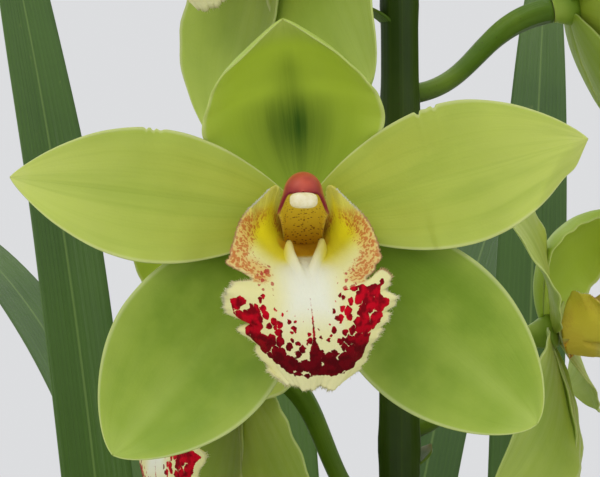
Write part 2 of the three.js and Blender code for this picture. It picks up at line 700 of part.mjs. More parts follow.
// Bark that fills the pot, with chips standing out of its top and plain holes for what grows in it.
function bark() {
  const low = POT_FLOOR + GAP;
  const edge = potInnerRadius(BARK_LEVEL) - GAP;
  const profile = [[0, low], [potInnerRadius(low) - GAP, low], [edge, BARK_LEVEL], [0, BARK_LEVEL]];
  const parts = [solidOf(upright(turned(profile, POT_SIDES)))];
  const draw = seeded(BARK_SEED);
  for (let k = 0; k < BARK_CHIPS; k++) {
    const away = (edge - 15) * Math.sqrt((k + 0.5) / BARK_CHIPS);
    const turn = k * GOLDEN_TURN + draw() * 0.5;
    const chip = new THREE.BoxGeometry(mix(13, 24, draw()), mix(8, 14, draw()), mix(5, 9, draw()));
    chip.rotateX(mix(-0.5, 0.5, draw())).rotateY(mix(-0.5, 0.5, draw())).rotateZ(draw() * Math.PI);
    parts.push(solidOf(chip.translate(away * Math.cos(turn), away * Math.sin(turn), BARK_LEVEL + 1.5)));
  }
  const sockets = GROWTHS.map((g) => bulb(g, GAP));
  return mainBody(joined(parts).subtract(joined([...sockets, stemHole()])));
}

// The stem's hole in the bark: a round hole that follows the stem from just below its foot.
function stemHole() {
  const { at, radius } = STEM[0];
  const above = stemCurve().getPoint(STEM_HOLE_SHARE);
  const foot = at.clone().addScaledVector(above.clone().sub(at).normalize(), -GAP * 2);
  return solidOf(rod(new THREE.LineCurve3(foot, above), () => radius + STEM_HOLE_ROOM, 1, 8));
}

function piece(name, solid, material) {
  const mesh = new THREE.Mesh(geometryOf(solid), material);
  mesh.name = name;
  return mesh;
}

const plain = (color, roughness) => new THREE.MeshStandardMaterial({ color, roughness, metalness: 0 });
const MATERIALS = {
  clay: plain(0xb4694a, 0.85),
  bark: plain(0x5d3d28, 0.95),
  bulb: plain(0x8a9a4c, 0.55),
  leaf: plain(0x3f6b2b, 0.45),
  stem: plain(0x4b6a26, 0.5),
  tepal: plain(0xa3b94c, 0.5),
  lip: plain(0xe9e4bd, 0.5),
  column: plain(0xb4492f, 0.45),
  cap: plain(0xf3edd2, 0.4),
};

const orchid = new THREE.Group();
orchid.add(piece("pot", pot(), MATERIALS.clay));
orchid.add(piece("flower_spike", spike(), MATERIALS.stem));
orchid.add(piece("bark_medium", bark(), MATERIALS.bark));
for (const g of GROWTHS) {
  orchid.add(piece(`pseudobulb_${g.name}`, bulb(g, 0), MATERIALS.bulb));
  if (g.leaves.length) orchid.add(piece(`leaves_${g.name}`, leaves(g), MATERIALS.leaf));
}
for (const b of BLOOMS) orchid.add(bloom(b));

export default orchid;
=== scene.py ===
# %% [markdown]
# # A potted cymbidium orchid, from formulas
# This lesson dresses the faceted model of a potted cymbidium orchid. Each blade, tube and turned
# form is a grid of points worked out by numpy from a short formula, and becomes one closed mesh.
# Lengths are in millimetres until a mesh is made, which turns them into metres.
# The frame comes first: it holds the plain solids that every finer piece stands for.

import math

import bpy
import numpy as np
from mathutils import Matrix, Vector
from mathutils.geometry import delaunay_2d_cdt


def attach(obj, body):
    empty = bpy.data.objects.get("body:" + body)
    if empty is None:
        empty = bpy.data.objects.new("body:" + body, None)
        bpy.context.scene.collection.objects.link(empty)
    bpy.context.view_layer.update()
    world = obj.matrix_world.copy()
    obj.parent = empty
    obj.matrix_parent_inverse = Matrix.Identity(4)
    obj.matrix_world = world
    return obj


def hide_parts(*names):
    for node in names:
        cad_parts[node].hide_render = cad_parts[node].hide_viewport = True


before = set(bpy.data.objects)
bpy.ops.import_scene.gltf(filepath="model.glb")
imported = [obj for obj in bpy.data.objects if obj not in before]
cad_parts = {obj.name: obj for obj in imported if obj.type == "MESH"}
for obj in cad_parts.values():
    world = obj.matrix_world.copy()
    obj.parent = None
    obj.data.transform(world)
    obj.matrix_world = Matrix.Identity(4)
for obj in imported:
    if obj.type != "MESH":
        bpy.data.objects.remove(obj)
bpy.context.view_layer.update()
print("frame nodes:", len(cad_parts))


# %% [markdown]
# ## Small formulas
# The shapes below are built from a few curves that come back all the time: a smooth step, a bell
# for a bulge or a groove at one place, and points on circles round an upright line.

# %% Small formulas
def unit(v):
    """v divided by its length, along the last axis."""
    return v / np.maximum(np.linalg.norm(v, axis=-1, keepdims=True), 1e-12)


def smooth(t):
    """A smooth step: 0 below 0, 1 above 1, and 3 t^2 - 2 t^3 between."""
    t = np.clip(t, 0, 1)
    return t * t * (3 - 2 * t)


def mix(a, b, t):
    """a at t = 0 and b at t = 1."""
    return a + (b - a) * t


def bell(x, width):
    """1 at x = 0 and falling softly on both sides: exp(-(x / width)^2)."""
    return np.exp(-((x / width) ** 2))


def strip(rows, columns):
    """Places u from 0 to 1 along a blade and v from -1 to 1 across it, as two grids."""
    return np.meshgrid(np.linspace(0, 1, rows), np.linspace(-1, 1, columns), indexing="ij")


def circle(sides):
    """Even angles round a full turn."""
    return np.linspace(0, 2 * np.pi, sides, endpoint=False)


def around(x, y, r, turn, z):
    """Points at distance r and angle turn from the upright line through (x, y), at height z."""
    return np.stack(np.broadcast_arrays(x + r * np.cos(turn), y + r * np.sin(turn), z), -1)


print("a step's middle:", smooth(0.5), "and a bell's top:", bell(0, 1))


# %% [markdown]
# ## From grids to closed meshes
# A surface is a grid of points P[i, j]. A blade is made of two copies of its grid, pushed apart
# along the surface's normal, with a rim that joins their edges. A tube is a grid that closes on
# itself, with a point at each end. All parts of one piece go into one mesh, together with a UV map
# and a few numbers at each point that its material reads as attributes.

# %% Blades
def grid_quads(rows, columns, wrap=False):
    """The four-cornered faces of a grid of points, which closes on itself along its columns if
    wrap is set."""
    i, j = np.meshgrid(np.arange(rows - 1), np.arange(columns if wrap else columns - 1), indexing="ij")
    k = (j + 1) % columns
    quads = np.stack([i * columns + j, (i + 1) * columns + j, (i + 1) * columns + k, i * columns + k], -1)
    return quads.reshape(-1, 4)


def outward(part):
    """Turns all faces over if the enclosed volume comes out negative."""
    p, volume = part["p"], 0.0
    for faces in (part["quads"], part["tris"]):
        for a, b in ((1, 2), (2, 3)):
            if faces.shape[1] > b and len(faces):
                first, second, third = p[faces[:, 0]], p[faces[:, a]], p[faces[:, b]]
                volume += np.einsum("ij,ij->i", first, np.cross(second, third)).sum()
    if volume < 0:
        part["quads"] = part["quads"][:, ::-1]
        part["tris"] = part["tris"][:, ::-1]
    return part


def blade(P, thickness, u, v, values):
    """A closed blade: grid P is pushed half of thickness to both sides, and a rim joins the edges.
    Its UV map holds u along and v across. The attribute face is 1 in front and 0 behind."""
    rows, columns = P.shape[:2]
    uv = np.stack(np.broadcast_arrays(u, (v + 1) / 2), -1).reshape(-1, 2)
    normal = unit(np.cross(np.gradient(P, axis=0), np.gradient(P, axis=1)))
    half = np.broadcast_to(thickness, (rows, columns))[..., None] / 2
    n = rows * columns
    front = grid_quads(rows, columns)
    walk = [(0, j) for j in range(columns - 1)] + [(i, columns - 1) for i in range(rows - 1)]
    walk += [(rows - 1, j) for j in range(columns - 1, 0, -1)] + [(i, 0) for i in range(rows - 1, 0, -1)]
    ring = np.array([i * columns + j for i, j in walk])
    following = np.roll(ring, -1)
    rim = np.stack([ring, following, following + n, ring + n], -1)
    part = {
        "p": np.concatenate([(P + normal * half).reshape(-1, 3), (P - normal * half).reshape(-1, 3)]),
        "quads": np.concatenate([front, front[:, ::-1] + n, rim]),
        "tris": np.zeros((0, 3), int),
        "uv": np.tile(uv, (2, 1)),
        "values": {"face": np.repeat([1.0, 0.0], n)},
    }
    for key, value in values.items():
        part["values"][key] = np.tile(np.broadcast_to(value, (rows, columns)).ravel(), 2)
    return outward(part)


print("faces of a grid of 3 by 4 points:", len(grid_quads(3, 4)))


# %% Tubes
def tube(P, values=None):
    """A closed tube through the rings P[i], each a loop of points, with a fan over both ends."""
    rows, columns = P.shape[:2]
    u, v = np.meshgrid(np.linspace(0, 1, rows), np.linspace(0, 1, columns), indexing="ij")
    n = rows * columns
    j = np.arange(columns)
    k = (j + 1) % columns
    last = (rows - 1) * columns
    fans = np.concatenate([
        np.stack([np.full(columns, n), k, j], -1),
        np.stack([np.full(columns, n + 1), last + j, last + k], -1),
    ])
    ends = np.stack([P[0].mean(0), P[-1].mean(0)])
    part = {
        "p": np.concatenate([P.reshape(-1, 3), ends]),
        "quads": grid_quads(rows, columns, wrap=True),
        "tris": fans,
        "uv": np.concatenate([np.stack([u, v], -1).reshape(-1, 2), [[0, 0.5], [1, 0.5]]]),
        "values": {},
    }
    for key, value in (values or {}).items():
        value = np.broadcast_to(value, (rows, columns))
        part["values"][key] = np.concatenate([value.ravel(), [value[0].mean(), value[-1].mean()]])
    return outward(part)


print("a tube closes with a fan over each end")


# %% [markdown]
# Stems, stalks and the bulbs' rings need curves: one that runs through a list of points, rings
# carried along it, and rings round an upright axis for turned forms such as the pot.

# %% Paths and rings
def catmull(points, t):
    """A smooth curve through points, which are evenly spaced in t from 0 to 1."""
    points = np.asarray(points, float)
    padded = np.concatenate([2 * points[:1] - points[1:2], points, 2 * points[-1:] - points[-2:-1]])
    x = np.clip(t, 0, 1) * (len(points) - 1)
    i = np.minimum(x.astype(int), len(points) - 2)
    f = (x - i)[..., None]
    a, b, c, d = padded[i], padded[i + 1], padded[i + 2], padded[i + 3]
    return 0.5 * (2 * b + (c - a) * f + (2 * a - 5 * b + 4 * c - d) * f**2 + (3 * b - a - 3 * c + d) * f**3)


def wheel(turn, one, two):
    """Directions at the angles turn, from one towards two."""
    return np.cos(turn)[None, :, None] * one[:, None] + np.sin(turn)[None, :, None] * two[:, None]


def rings_along(path, radius, sides, ribs=0, rib_depth=0.0):
    """Rings of a tube along path, turned as little as possible from one to the next. radius has a
    value for each ring, and ribs raise as many soft ridges along it."""
    tangent = unit(np.gradient(path, axis=0))
    normal = unit(np.cross(tangent[0], [0.31, 0.95, 0.05]))
    normals = []
    for direction in tangent:
        normal = unit(normal - direction * (normal @ direction))
        normals.append(normal)
    one = np.array(normals)
    two = np.cross(tangent, one)
    turn = circle(sides)
    r = np.broadcast_to(radius, len(path))[:, None] * np.ones((1, sides))
    r = r + np.broadcast_to(rib_depth, len(path))[:, None] * np.cos(ribs * turn)[None, :]
    return path[:, None] + wheel(turn, one, two) * r[..., None]


def turned(profile, sides):
    """Rings of a form turned about Z, from a list of (radius, height)."""
    profile = np.asarray(profile, float)
    return around(0, 0, profile[:, :1], circle(sides), profile[:, 1:])


print("paths and rings ready")


# %% [markdown]
# One function makes every piece. It joins the parts, writes the mesh in one go, attaches it to
# the body and hides the plain solids that the piece stands for.

# %% Make a piece
MILLIMETRES = 1000
# Triangles of each piece, by its name
tally = {}


def linked(name, data):
    """A new object with the data, in the scene."""
    made = bpy.data.objects.new(name, data)
    bpy.context.collection.objects.link(made)
    return made


def joined(parts):
    """All parts as one: points, UV places, the faces' corners and sizes, and the values by name.
    A value that a part doesn't have is 0 there."""
    points, uvs, corners, sizes = [], [], [], []
    offset = 0
    for part in parts:
        points.append(part["p"])
        uvs.append(part["uv"])
        for faces in (part["quads"], part["tris"]):
            corners.append((faces + offset).ravel())
            sizes.append(np.full(len(faces), faces.shape[1]))
        offset += len(part["p"])
    values = {}
    for key in sorted({key for part in parts for key in part["values"]}):
        each = [part["values"].get(key, np.zeros(len(part["p"]))) for part in parts]
        values[key] = np.concatenate(each)
    return *(np.concatenate(x) for x in (points, uvs, corners, sizes)), values


def piece(name, parts, skin, slot, *nodes):
    """One mesh object in metres from all parts, riding on the body and standing for nodes."""
    points, uvs, corners, sizes, values = joined(parts)
    mesh = bpy.data.meshes.new(name)
    mesh.vertices.add(len(points))
    mesh.vertices.foreach_set("co", (points / MILLIMETRES).astype(np.float32).ravel())
    mesh.loops.add(len(corners))
    mesh.loops.foreach_set("vertex_index", corners.astype(np.int32))
    mesh.polygons.add(len(sizes))
    mesh.polygons.foreach_set("loop_start", (np.cumsum(sizes) - sizes).astype(np.int32))
    mesh.polygons.foreach_set("use_smooth", np.ones(len(sizes), bool))
    layer = mesh.uv_layers.new(name="UVMap")
    layer.data.foreach_set("uv", uvs[corners].astype(np.float32).ravel())
    for key, value in values.items():
        column = mesh.attributes.new(key, "FLOAT", "POINT")
        column.data.foreach_set("value", value.astype(np.float32))
    mesh.update()
    mesh.validate()
    mesh.materials.append(skin)
    shown = linked(name, mesh)
    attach(shown, "root")
    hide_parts(*nodes)
    tally[name] = int((sizes - 2).sum())
    return shown


def counted(word):
    """Triangles of all pieces with the word in their names."""
    return sum(n for name, n in tally.items() if word in name)


print("piece maker ready")


# %% [markdown]
# ## Materials
# A material is a small graph of nodes. The helper below adds one node, sets its options and
# joins or fills its inputs, so that each material reads as a short recipe. A socket knows the
# tree that it is in, so the helpers find the tree by themselves.

# %% Node helpers
def is_socket(value):
    """Whether value is a node's socket, not a plain number, vector or colour."""
    return isinstance(value, bpy.types.NodeSocket)


def fill(node, **inputs):
    """Joins or sets a node's inputs, each given by its name, or as i0, i1 and so on by its place."""
    for key, value in inputs.items():
        socket = node.inputs[int(key[1:])] if key[1:].isdigit() else node.inputs[key.replace("_", " ")]
        if is_socket(value):
            value.id_data.links.new(value, socket)
        else:
            socket.default_value = value


def add(owner, kind, options=None, **inputs):
    """Adds a shader node to the tree owner, or to the tree that the socket owner is in."""
    node = owner.id_data.nodes.new("ShaderNode" + kind)
    for key, value in (options or {}).items():
        setattr(node, key, value)
    fill(node, **inputs)
    return node


def out(node, name=0):
    """A node's output, by its name or place."""
    return node.outputs[name]


def uv_of(tree):
    """The place along and across a blade, from its UV map."""
    return out(add(tree, "UVMap", {"uv_map": "UVMap"}))


def place_of(tree):
    """The place in the object's own frame, in metres."""
    return out(add(tree, "TexCoord"), "Object")


def value_of(tree, name):
    """A value that the mesh carries at each of its points."""
    return out(add(tree, "Attribute", {"attribute_name": name}), "Fac")


def values_of(tree, *names):
    """Several such values at once."""
    return [value_of(tree, name) for name in names]


def axis_of(vector, k):
    """One of a vector's three numbers."""
    return out(add(vector, "SeparateXYZ", i0=vector), k)


print("node helpers ready")


# %% [markdown]
# Sums and fades are nodes too. A fade is a smooth step between two values of its input, and most
# of the markings below are fades of a distance.

# %% Sums and fades
def math_node(operation, a, b=0.0, clamp=False):
    """One sum of a and b, held between 0 and 1 if clamp is set."""
    owner = a if is_socket(a) else b
    return out(add(owner, "Math", {"operation": operation, "use_clamp": clamp}, i0=a, i1=b))


def times(a, b):
    """a multiplied by b."""
    return math_node("MULTIPLY", a, b)


def plus(a, b):
    """a and b together."""
    return math_node("ADD", a, b)


def minus(a, b, clamp=False):
    """a less b."""
    return math_node("SUBTRACT", a, b, clamp)


def shifted(vector, by):
    """vector plus another vector."""
    return out(add(vector, "VectorMath", {"operation": "ADD"}, i0=vector, i1=by))


def scaled(vector, by):
    """vector times another vector, number by number."""
    return out(add(vector, "VectorMath", {"operation": "MULTIPLY"}, i0=vector, i1=by))


def fade(value, start, end, low=0.0, high=1.0):
    """value's smooth way from low at start to high at end."""
    options = {"interpolation_type": "SMOOTHSTEP"}
    return out(add(value, "MapRange", options, i0=value, i1=start, i2=end, i3=low, i4=high))


print("sums and fades ready")


# %% [markdown]
# Colours are written as they look on a screen and turned into linear light, because that is what
# the shader works with. A material then starts from a plain shader with a few set values.

# %% Colours and surfaces
def colour(red, green, blue):
    """A screen colour, 0 to 255 a channel, as linear light with full alpha."""
    c = np.array([red, green, blue]) / 255
    linear = np.where(c <= 0.04045, c / 12.92, ((c + 0.055) / 1.055) ** 2.4)
    return (*linear.tolist(), 1.0)


def blend(factor, a, b):
    """Colour a where factor is 0 and b where it is 1."""
    node = add(factor, "Mix", {"data_type": "RGBA"}, i0=factor, i6=a, i7=b)
    return out(node, 2)


def tint(base, factor, red, green, blue):
    """The colour base, turned towards a screen colour by factor."""
    return blend(factor, base, colour(red, green, blue))


def ramp(factor, stops):
    """A colour that runs through stops, a list of (place, shade). A shade is a screen colour, or
    one number for a plain grey in linear light."""
    node = add(factor, "ValToRGB", Fac=factor)
    band = node.color_ramp
    while len(band.elements) < len(stops):
        band.elements.new(0.5)
    for element, (place, shade) in zip(band.elements, stops):
        element.position = place
        element.color = (shade, shade, shade, 1) if isinstance(shade, float) else colour(*shade)
    return out(node)


def noise(vector, scale, detail=3.0, roughness=0.5):
    """Cloudy noise, about 0.5 on average."""
    return out(add(vector, "TexNoise", Vector=vector, Scale=scale, Detail=detail, Roughness=roughness))


def bump(height, distance, strength):
    """A normal that tilts with height, as if the surface rose by distance in metres."""
    return out(add(height, "Bump", Height=height, Distance=distance, Strength=strength))


def material(name, **sockets):
    """A material with plain values on its shader's sockets. Returns it, its tree and its shader."""
    made = bpy.data.materials.new(name)
    made.use_nodes = True
    shader = made.node_tree.nodes["Principled BSDF"]
    fill(shader, **sockets)
    return made, made.node_tree, shader


print("middle grey in linear light: %.3f" % colour(128, 128, 128)[0])


# %% [markdown]
# Two effects are shared by many surfaces of a plant: lengthwise veins and a cloudy mottle. Each
# is a node group with named inputs, built once and placed in each material with its own values.

# %% Shared effects
def group(name, inputs, outputs):
    """An empty node group whose sockets are named. An input is a number with a usual value, or a
    vector where that is None. Returns the group and its two end nodes."""
    made = bpy.data.node_groups.new(name, "ShaderNodeTree")
    for key, usual in inputs.items():
        kind = "NodeSocketVector" if usual is None else "NodeSocketFloat"
        socket = made.interface.new_socket(key, in_out="INPUT", socket_type=kind)
        if usual is not None:
            socket.default_value = usual
    for key in outputs:
        made.interface.new_socket(key, in_out="OUTPUT", socket_type="NodeSocketFloat")
    return made, made.nodes.new("NodeGroupInput"), made.nodes.new("NodeGroupOutput")


def veins_group():
    """Lengthwise veins on a blade: a sine of the place across it, plus drawn-out noise. Also gives
    the distance from the blade's middle, 0 there and 1 at its edges."""
    usual = {"UV": None, "Count": 15.0, "Depth": 0.25, "Along": 3.0, "Across": 90.0}
    made, given, ends = group("veins", usual, ["Veins", "From Middle"])
    v = axis_of(out(given, "UV"), 1)
    lines = math_node("SINE", times(v, times(out(given, "Count"), 2 * math.pi)))
    stretch = out(add(made, "CombineXYZ", i0=out(given, "Along"), i1=out(given, "Across"), i2=1.0))
    fine = noise(scaled(out(given, "UV"), stretch), 1.0, 3.0, 0.6)
    total = plus(times(lines, out(given, "Depth")), fine)
    fill(ends, Veins=total, From_Middle=math_node("ABSOLUTE", minus(times(v, 2.0), 1.0)))
    return made


def mottle_group():
    """A cloudy mask: noise at a scale, faded from 0 at Low to Most at High."""
    usual = {"Vector": None, "Scale": 40.0, "Low": 0.35, "High": 0.7, "Most": 1.0}
    made, given, ends = group("mottle", usual, ["Mask", "Noise"])
    cloud = noise(out(given, "Vector"), out(given, "Scale"), 4.0, 0.55)
    mask = fade(cloud, out(given, "Low"), out(given, "High"), 0.0, out(given, "Most"))
    fill(ends, Mask=mask, Noise=cloud)
    return made


VEINS, MOTTLE = veins_group(), mottle_group()


def veins(uv, count, depth, along, across):
    """The veins group with its own values: (veins, distance from the middle)."""
    given = {"UV": uv, "Count": count, "Depth": depth, "Along": along, "Across": across}
    node = add(uv, "Group", {"node_tree": VEINS}, **given)
    return out(node, "Veins"), out(node, "From Middle")


def mottle(vector, scale, low=0.35, high=0.7, most=1.0):
    """The mottle group with its own values: (mask, plain noise)."""
    given = dict(Vector=vector, Scale=scale, Low=low, High=high, Most=most)
    node = add(vector, "Group", {"node_tree": MOTTLE}, **given)
    return out(node, "Mask"), out(node, "Noise")


print("node groups:", [made.name for made in bpy.data.node_groups])


# %% [markdown]
# ### Tepals
# Petals and sepals share one material. It reads where it is along the blade (u) and across it
# (v), so that veins run lengthwise and meet at the tip as real ones do. Petals are the paler
# and yellower; sepals are greener. The rim is a thin pale line. A painted highlight runs along
# the outer half of a sepal's middle. The hooded sepal's hollow is deep green with painted shade,
# where little light reaches, and a painted yellow-green glow lies round it.

# %% Tepal material
def tepal_material():
    """Petals blended into sepals by their green, then bands, veins, the ridge's painted highlight,
    the hollow's painted glow and shade, and rim.
    """
    made, tree, shader = material(
        "tepal_skin", Specular_IOR_Level=0.16, Sheen_Weight=0.03, Sheen_Roughness=0.45,
        Sheen_Tint=(0.9, 1.0, 0.5, 1.0), Subsurface_Weight=0.2,
        Subsurface_Radius=(1.0, 1.0, 0.35), Subsurface_Scale=0.0014,
    )
    uv = uv_of(tree)
    u = axis_of(uv, 0)
    where = place_of(tree)
    green, hood, face = values_of(tree, "green", "hood", "face")
    streak, across = veins(uv, 7.0, 0.12, 1.6, 46.0)
    petal = ramp(u, [
        (0.0, (162, 170, 44)), (0.22, (172, 182, 66)), (0.55, (170, 185, 78)),
        (0.92, (192, 204, 104)), (1.0, (204, 212, 126)),
    ])
    sepal = ramp(u, [
        (0.0, (98, 126, 24)), (0.25, (107, 137, 31)), (0.6, (119, 149, 41)), (0.9, (144, 170, 62)),
        (1.0, (172, 192, 92)),
    ])
    base = blend(green, petal, sepal)
    cloudy, _ = mottle(where, 55.0, 0.35, 0.7, 0.3)
    base = tint(base, cloudy, 190, 206, 90)
    # Wide soft bands run lengthwise, and differ from one tepal to the next
    long_way = shifted(scaled(uv, (1.2, 4.2, 0)), scaled(where, (9, 9, 9)))
    banded, _ = mottle(long_way, 1.0, 0.44, 0.66, 0.27)
    base = tint(base, banded, 132, 158, 50)
    base = tint(base, fade(streak, 0.5, 0.8, 0.0, 0.11), 124, 152, 40)
    base = tint(base, fade(across, 0.0, 0.035, 0.14, 0.0), 128, 156, 44)
    # A painted highlight runs as a paler, soft ridge along the outer half of a sepal's middle
    ridge = times(fade(across, 0.3, 0.0), fade(u, 0.45, 0.85, 0.0, 0.35))
    base = tint(base, times(ridge, green), 182, 200, 100)
    # The hooded sepal has a painted yellow-green glow at its flanks and painted shade, deep green, in its
    # hollow
    base = tint(base, fade(hood, 0.0, 0.3), 176, 200, 60)
    deep = times(minus(hood, 0.3, clamp=True), fade(streak, 0.3, 0.75, 1.16, 1.42))
    base = tint(base, deep, 34, 78, 0)
    flank = fade(across, 0.6, 0.98, 0.0, 0.25)
    base = tint(base, flank, 190, 204, 100)
    base = tint(base, fade(across, 0.94, 0.985, 0.0, 0.4), 214, 218, 168)
    base = tint(base, fade(face, 0.0, 1.0, 0.4, 0.0), 152, 182, 60)
    grain = noise(where, 1900.0, 2.0, 0.5)
    height = plus(times(streak, 0.6), times(grain, 0.4))
    fill(shader, Base_Color=base, Roughness=fade(streak, 0.3, 0.7, 0.44, 0.56))
    fill(shader, Normal=bump(height, 0.0003, 0.3))
    return made


TEPAL_SKIN = tepal_material()
print("tepal material:", len(TEPAL_SKIN.node_tree.nodes), "nodes")


# %% [markdown]
# ### Lip
# The lip's markings follow its edge. Each of its points knows its distance from the edge, and
# its places across and along the lip in millimetres. A cream border comes first, then a crimson
# band, which breaks into blotches and round spots further in: a cell pattern is filled out to a
# radius that shrinks with the distance from the edge. A dark line runs down the middle. The two
# raised side lobes carry fine orange-brown freckles in the same way.

# %% Lip's ground
def lip_ground(side, rim, along, low, keel):
    """The lip without its markings: a white disc, yellow walls, an ochre throat and cream keels."""
    creamy = math_node("MAXIMUM", fade(side, 1.8, 8.5), fade(low, 18.0, 26.0, 0.0, 0.85))
    disc = blend(creamy, colour(234, 235, 214), colour(230, 225, 160))
    wall = blend(fade(rim, 7.0, 1.5), colour(236, 226, 62), colour(224, 220, 96))
    yellow = times(fade(side, 3.4, 8.0), fade(along, 20.0, 10.5))
    yellow = math_node("MAXIMUM", yellow, fade(along, 9.5, 6.5))
    ground = blend(yellow, disc, wall)
    # Painted light: the walls beside the column are painted brighter, because little light reaches them
    painted_light_beside = times(fade(low, 9.0, 4.0), fade(rim, 1.0, 4.0))
    ground = tint(ground, times(painted_light_beside, yellow), 250, 236, 40)
    ochre = times(fade(along, 9.5, 6.0), fade(side, 9.0, 5.0))
    ground = tint(ground, ochre, 216, 170, 40)
    return blend(times(keel, 0.85), ground, colour(238, 230, 146))


print("lip's ground ready")


# %% [markdown]
# A cell pattern gives round spots: it tells each point how far the nearest cell's middle is. Where
# that distance is below the wanted radius, the spot shows. Noise stirs the place first, so that no
# spot is a perfect disc.

# %% Lip's markings
def crimson_marks(place, stirred, across, inside, low, u, start_line):
    """The crimson band with its blotches and spots, and the dark line down the middle.
    A cell of the pattern is filled out to a radius, which falls with the distance inside."""
    wide = fade(start_line, 16.5, 23.0, 0.5, 1.0)
    grown = math_node("DIVIDE", inside, wide)
    density = ramp(math_node("DIVIDE", plus(grown, 1.0), 16.0), [
        (0.055, 0.0), (0.085, 0.95), (0.27, 0.98), (0.34, 0.66), (0.46, 0.56), (0.62, 0.42),
        (0.80, 0.10),
    ])
    stretched = scaled(stirred, (1.0, 0.8, 1))
    flat = {"voronoi_dimensions": "2D"}
    spots = add(stretched, "TexVoronoi", flat, Vector=stretched, Scale=0.62, Randomness=0.9)
    chance = axis_of(out(spots, "Color"), 0)
    cells = plus(out(spots), times(chance, 0.26))
    lobe = times(fade(start_line, 15.6, 17.0), fade(u, 0.682, 0.7))
    band = fade(minus(times(density, lobe), cells), -0.02, 0.05)
    band = times(band, fade(lobe, 0.0, 0.3))
    broken = minus(noise(place, 1.7, 2.0, 0.6), 0.45)
    drift = times(minus(low, 18.0), 0.06)
    off_line = math_node("ABSOLUTE", minus(across, drift))
    off_line = plus(off_line, times(broken, 0.7))
    thin, foot = fade(low, 17.0, 27.0, 0.0, 0.32), fade(low, 25.5, 29.5, 0.0, 0.95)
    width = plus(thin, foot)
    line = fade(minus(width, off_line), -0.1, 0.1)
    line = times(line, fade(low, 17.0, 18.5))
    line = times(line, fade(inside, 0.2, 0.8))
    return math_node("MAXIMUM", band, line), cells


def freckle_marks(stirred, rim, wander, low, u):
    """The side lobes' orange-brown freckles and the wash under them, and a few larger rose dots
    where these lobes run into the middle one."""
    stretched = scaled(stirred, (1.25, 2.6, 1))
    flecks = out(add(stretched, "TexVoronoi", Vector=stretched, Scale=1.0, Randomness=1.0))
    from_edge = plus(rim, times(wander, 3.0))
    dense = ramp(math_node("DIVIDE", from_edge, 10.0), [
        (0.01, 0.42), (0.06, 0.6), (0.28, 0.56), (0.42, 0.28), (0.58, 0.0),
    ])
    away = times(fade(low, 15.5, 13.5), fade(low, -2.5, 1.5))
    away = times(away, fade(u, 0.69, 0.675))
    freckle = times(fade(minus(dense, flecks), -0.12, 0.16), away)
    wash = times(away, fade(rim, 5.0, 2.4, 0.0, 0.55))
    return freckle, wash


print("lip's markings ready")


# %% Lip material
def lip_material():
    """The ground, the freckles, the dots and the crimson marks laid over one another."""
    made, tree, shader = material(
        "lip_skin", Specular_IOR_Level=0.06, Subsurface_Weight=0.05,
        Subsurface_Radius=(1.0, 0.7, 0.35), Subsurface_Scale=0.0008,
    )
    rim, across, along, low = values_of(tree, "rim", "across", "along", "low")
    keel, face = value_of(tree, "keel"), value_of(tree, "face")
    u = axis_of(uv_of(tree), 0)
    place = out(add(tree, "CombineXYZ", i0=across, i1=along))
    side = math_node("ABSOLUTE", across)
    wander = minus(noise(place, 0.34, 3.0, 0.6), 0.5)
    shift = out(add(tree, "TexNoise", Vector=place, Scale=0.9, Detail=2.0), 1)
    stirred = shifted(place, scaled(shift, (1.3, 1.3, 0)))
    # A cream border, narrow at the sides and wider at the tip, comes before the crimson
    cream = fade(low, 24.0, 33.0, 1.4, 2.5)
    inside = plus(rim, times(wander, 2.4))
    inside = minus(inside, cream)
    slant = fade(across, -2.0, 2.0, 0.07, 0.2)
    start_line = plus(low, times(across, slant))
    marks, cells = crimson_marks(place, stirred, across, inside, low, u, start_line)
    freckle, wash = freckle_marks(stirred, rim, wander, low, u)
    corner = times(fade(low, 9.5, 12.5), fade(low, 17.5, 15.5))
    corner = times(corner, fade(side, 5.0, 7.5, 0.0, 0.38))
    corner = times(corner, fade(side, 12.5, 10.5))
    dots = fade(minus(corner, cells), -0.03, 0.06, 0.0, 0.8)
    crimson = blend(fade(low, 20.0, 31.0), colour(198, 2, 30), colour(104, 0, 13))
    darker = fade(noise(place, 0.5, 2.0), 0.4, 0.62, 0.0, 0.75)
    crimson = tint(crimson, darker, 76, 0, 7)
    skin = blend(wash, lip_ground(side, rim, along, low, keel), colour(216, 164, 60))
    skin = tint(skin, times(freckle, 0.75), 190, 88, 32)
    skin = tint(skin, dots, 178, 44, 48)
    skin = blend(marks, skin, crimson)
    pale = times(fade(rim, 0.6, 0.15, 0.0, 0.8), fade(low, 10.0, 16.0, 0.25, 1.0))
    skin = tint(skin, pale, 226, 220, 166)
    skin = tint(skin, fade(face, 0.0, 1.0, 0.85, 0.0), 234, 214, 84)
    grain = noise(place, 5.0, 3.0, 0.6)
    ridges = out(add(tree, "TexNoise", Vector=scaled(place, (1.6, 0.25, 1)), Scale=1.0, Detail=2.0))
    height = plus(grain, ridges)
    fill(shader, Base_Color=skin, Roughness=fade(grain, 0.3, 0.7, 0.45, 0.6))
    fill(shader, Normal=bump(height, 0.0003, 0.5))
    return made


LIP_SKIN = lip_material()
print("lip material:", len(LIP_SKIN.node_tree.nodes), "nodes")


# %% [markdown]
# ### Column and anther cap
# The column is the arched pillar above the lip. Its back is brick red towards the tip and green
# near its foot. Its hollow underside is ochre with fine dark dots. The cap at its tip is cream.

